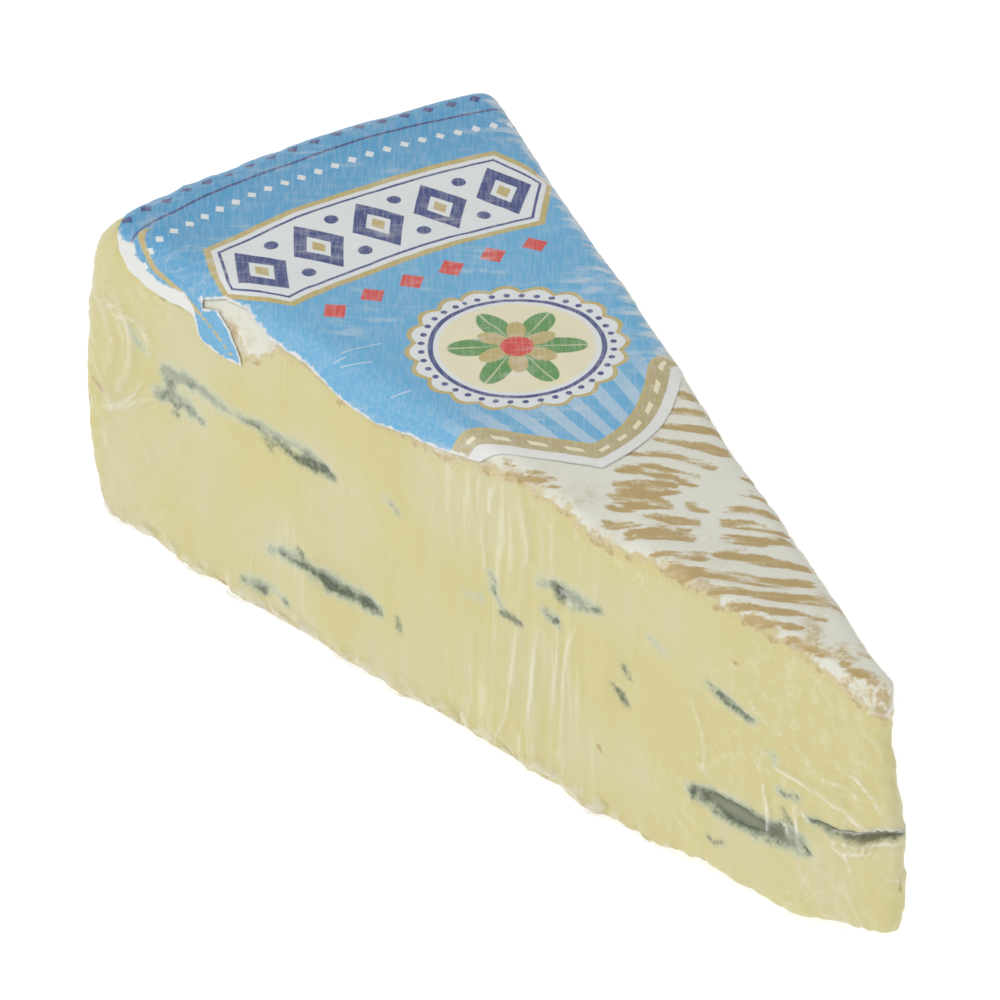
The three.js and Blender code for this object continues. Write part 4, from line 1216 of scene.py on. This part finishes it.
def film_piece(settings, cheese):
    piece = closed_skin("clear_film", cheese.grain, cheese.bridging, settings.over_cheese)
    mesh = piece.data
    points, normals = places(mesh), outwards(mesh)
    face = on_face(points)
    near = is_near(points, face)
    on_cut = ease(points[:, 2], 40.3, 38.5) * ease(face[:, 0], -1.5, 0.5)
    ridge = ridge_height(face, near)

    over_label = (settings.over_label - settings.over_cheese) / MM
    extra = over_label * ease(points[:, 2], 30, 34) * ease(points[:, 0], -44, -52)
    extra += bottom_waves(points, normals) + ease(rind_depth(points), 0.0, -1.0) * ragged_ends(points, face)
    extra += settings.pleats * ridge + 0.13 * on_cut * pleats(points, face)
    # Folds at the rind corners and round the tip.
    folds = np.abs(unevenness(points, 3.2, 4.0, (1, 1, 0.8)) * unevenness(points, 7.0, 1.0))
    ends = np.maximum(ease(face[:, 0], 8, -1), ease(face[:, 0], 108, 121)) * on_cut
    extra += 0.8 * ends * folds + 0.12 * crumples(points, face) * on_cut
    # Gathered film along the bottom edges.
    low = ease(points[:, 2], 4.5, 0.8) * ease(np.abs(normals[:, 2]), 0.98, 0.6)
    gathers = unevenness(points, 3.4, 6.6, (1, 1, 0.7)) + 0.6 * unevenness(points, 1.4, 3.1)
    gathers = low * np.maximum(gathers, 0)
    extra += 0.15 * gathers
    points += normals * extra[:, None]
    points[:, 2] = np.maximum(points[:, 2], 0.0)
    put_places(mesh, points)

    breaks = 0.65 + 0.5 * unevenness(points, 3.0, 5.5)
    frayed = low * ease(unevenness(points, 1.5, 8.8), 0.0, 0.3)
    free = 1.2 * ridge * breaks + 1.3 * gathers + 1.3 * frayed + 0.7 * ends * folds
    note(mesh, "standing_free", np.clip(free, 0, 1))
    note(mesh, "crease", crease_gap(face, near))
    # How strongly the creases' painted highlights show, more towards the tip.
    note(mesh, "crease_white", 0.2 + 0.18 * ease(face[:, 0], 84, 104))
    mesh.materials.append(film_material(settings))
    return piece


# ---------------------------------------------------------------- operators


class MakeCheese(bpy.types.Operator):
    """Makes the paste and rind, with the blue mould in its cut faces"""

    bl_idname = "cheese.paste_and_rind"
    bl_label = "Paste and Rind"

    def execute(self, context):
        piece = cheese_piece(context.scene.cheese_settings)
        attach(piece, "root")
        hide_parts("cheese")
        return {"FINISHED"}


class MakeLabel(bpy.types.Operator):
    """Makes the printed paper label that lies on the rind"""

    bl_idname = "cheese.label"
    bl_label = "Label"

    def execute(self, context):
        piece = label_piece(context.scene.label_settings)
        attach(piece, "root")
        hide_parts("label")
        return {"FINISHED"}


class MakeFilm(bpy.types.Operator):
    """Makes the clear film that is drawn tight over cheese and label"""

    bl_idname = "cheese.film"
    bl_label = "Film"

    def execute(self, context):
        piece = film_piece(context.scene.film_settings, context.scene.cheese_settings)
        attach(piece, "root")
        return {"FINISHED"}


class MakeStudio(bpy.types.Operator):
    """Makes the floor, the soft lights and the camera"""

    bl_idname = "cheese.studio"
    bl_label = "Studio"

    def execute(self, context):
        look, scene = context.scene.studio_settings, context.scene
        bpy.ops.object.select_all(action="DESELECT")
        bpy.ops.mesh.primitive_plane_add(size=FLOOR_SIZE, location=(0, 0, 0))
        floor = context.object
        floor.name = "floor"
        floor.data.materials.append(floor_material(look))

        scene.world = scene.world or bpy.data.worlds.new("surround")
        scene.world.use_nodes = True
        background = scene.world.node_tree.nodes["Background"]
        background.inputs["Color"].default_value = (1, 1, 1, 1)
        background.inputs["Strength"].default_value = look.surround

        for name, (size, place) in LIGHTS.items():
            bpy.ops.object.light_add(type="AREA", location=place)
            light = context.object
            light.name = name
            light.data.energy = getattr(look, name)
            light.data.size = size
            light.rotation_euler = (-Vector(place)).to_track_quat("-Z", "Y").to_euler()

        bpy.ops.object.camera_add(location=CAMERA_PLACE)
        camera = context.object
        camera.name = "camera"
        aim = Vector(CAMERA_AIM) - camera.location
        camera.rotation_euler = aim.to_track_quat("-Z", "Y").to_euler()
        camera.data.lens = CAMERA_LENS
        camera.data.sensor_width = CAMERA_SENSOR
        scene.camera = camera
        scene.view_settings.view_transform = "Standard"
        return {"FINISHED"}


class CheesePanel(bpy.types.Panel):
    bl_idname = "VIEW3D_PT_cheese_wedge"
    bl_label = "Blue Brie Wedge"
    bl_space_type = "VIEW_3D"
    bl_region_type = "UI"
    bl_category = "Cheese"

    def draw(self, context):
        for operator, group, _ in PIECES:
            box = self.layout.box()
            box.operator(operator.bl_idname)
            settings = getattr(context.scene, group)
            for name in settings.__annotations__:
                box.prop(settings, name)


PIECES = [
    (MakeCheese, "cheese_settings", CheeseSettings),
    (MakeLabel, "label_settings", LabelSettings),
    (MakeFilm, "film_settings", FilmSettings),
    (MakeStudio, "studio_settings", StudioSettings),
]
SETTINGS = {name: group for _, name, group in PIECES}
CLASSES = [*SETTINGS.values(), *(operator for operator, _, _ in PIECES), CheesePanel]


def register():
    for each in CLASSES:
        bpy.utils.register_class(each)
    for name, group in SETTINGS.items():
        setattr(bpy.types.Scene, name, bpy.props.PointerProperty(type=group))


def unregister():
    for name in SETTINGS:
        delattr(bpy.types.Scene, name)
    for each in reversed(CLASSES):
        bpy.utils.unregister_class(each)


def main():
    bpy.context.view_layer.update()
    register()
    bpy.ops.cheese.paste_and_rind()
    bpy.ops.cheese.label()
    bpy.ops.cheese.film()
    bpy.ops.cheese.studio()


if __name__ == "__main__":
    main()
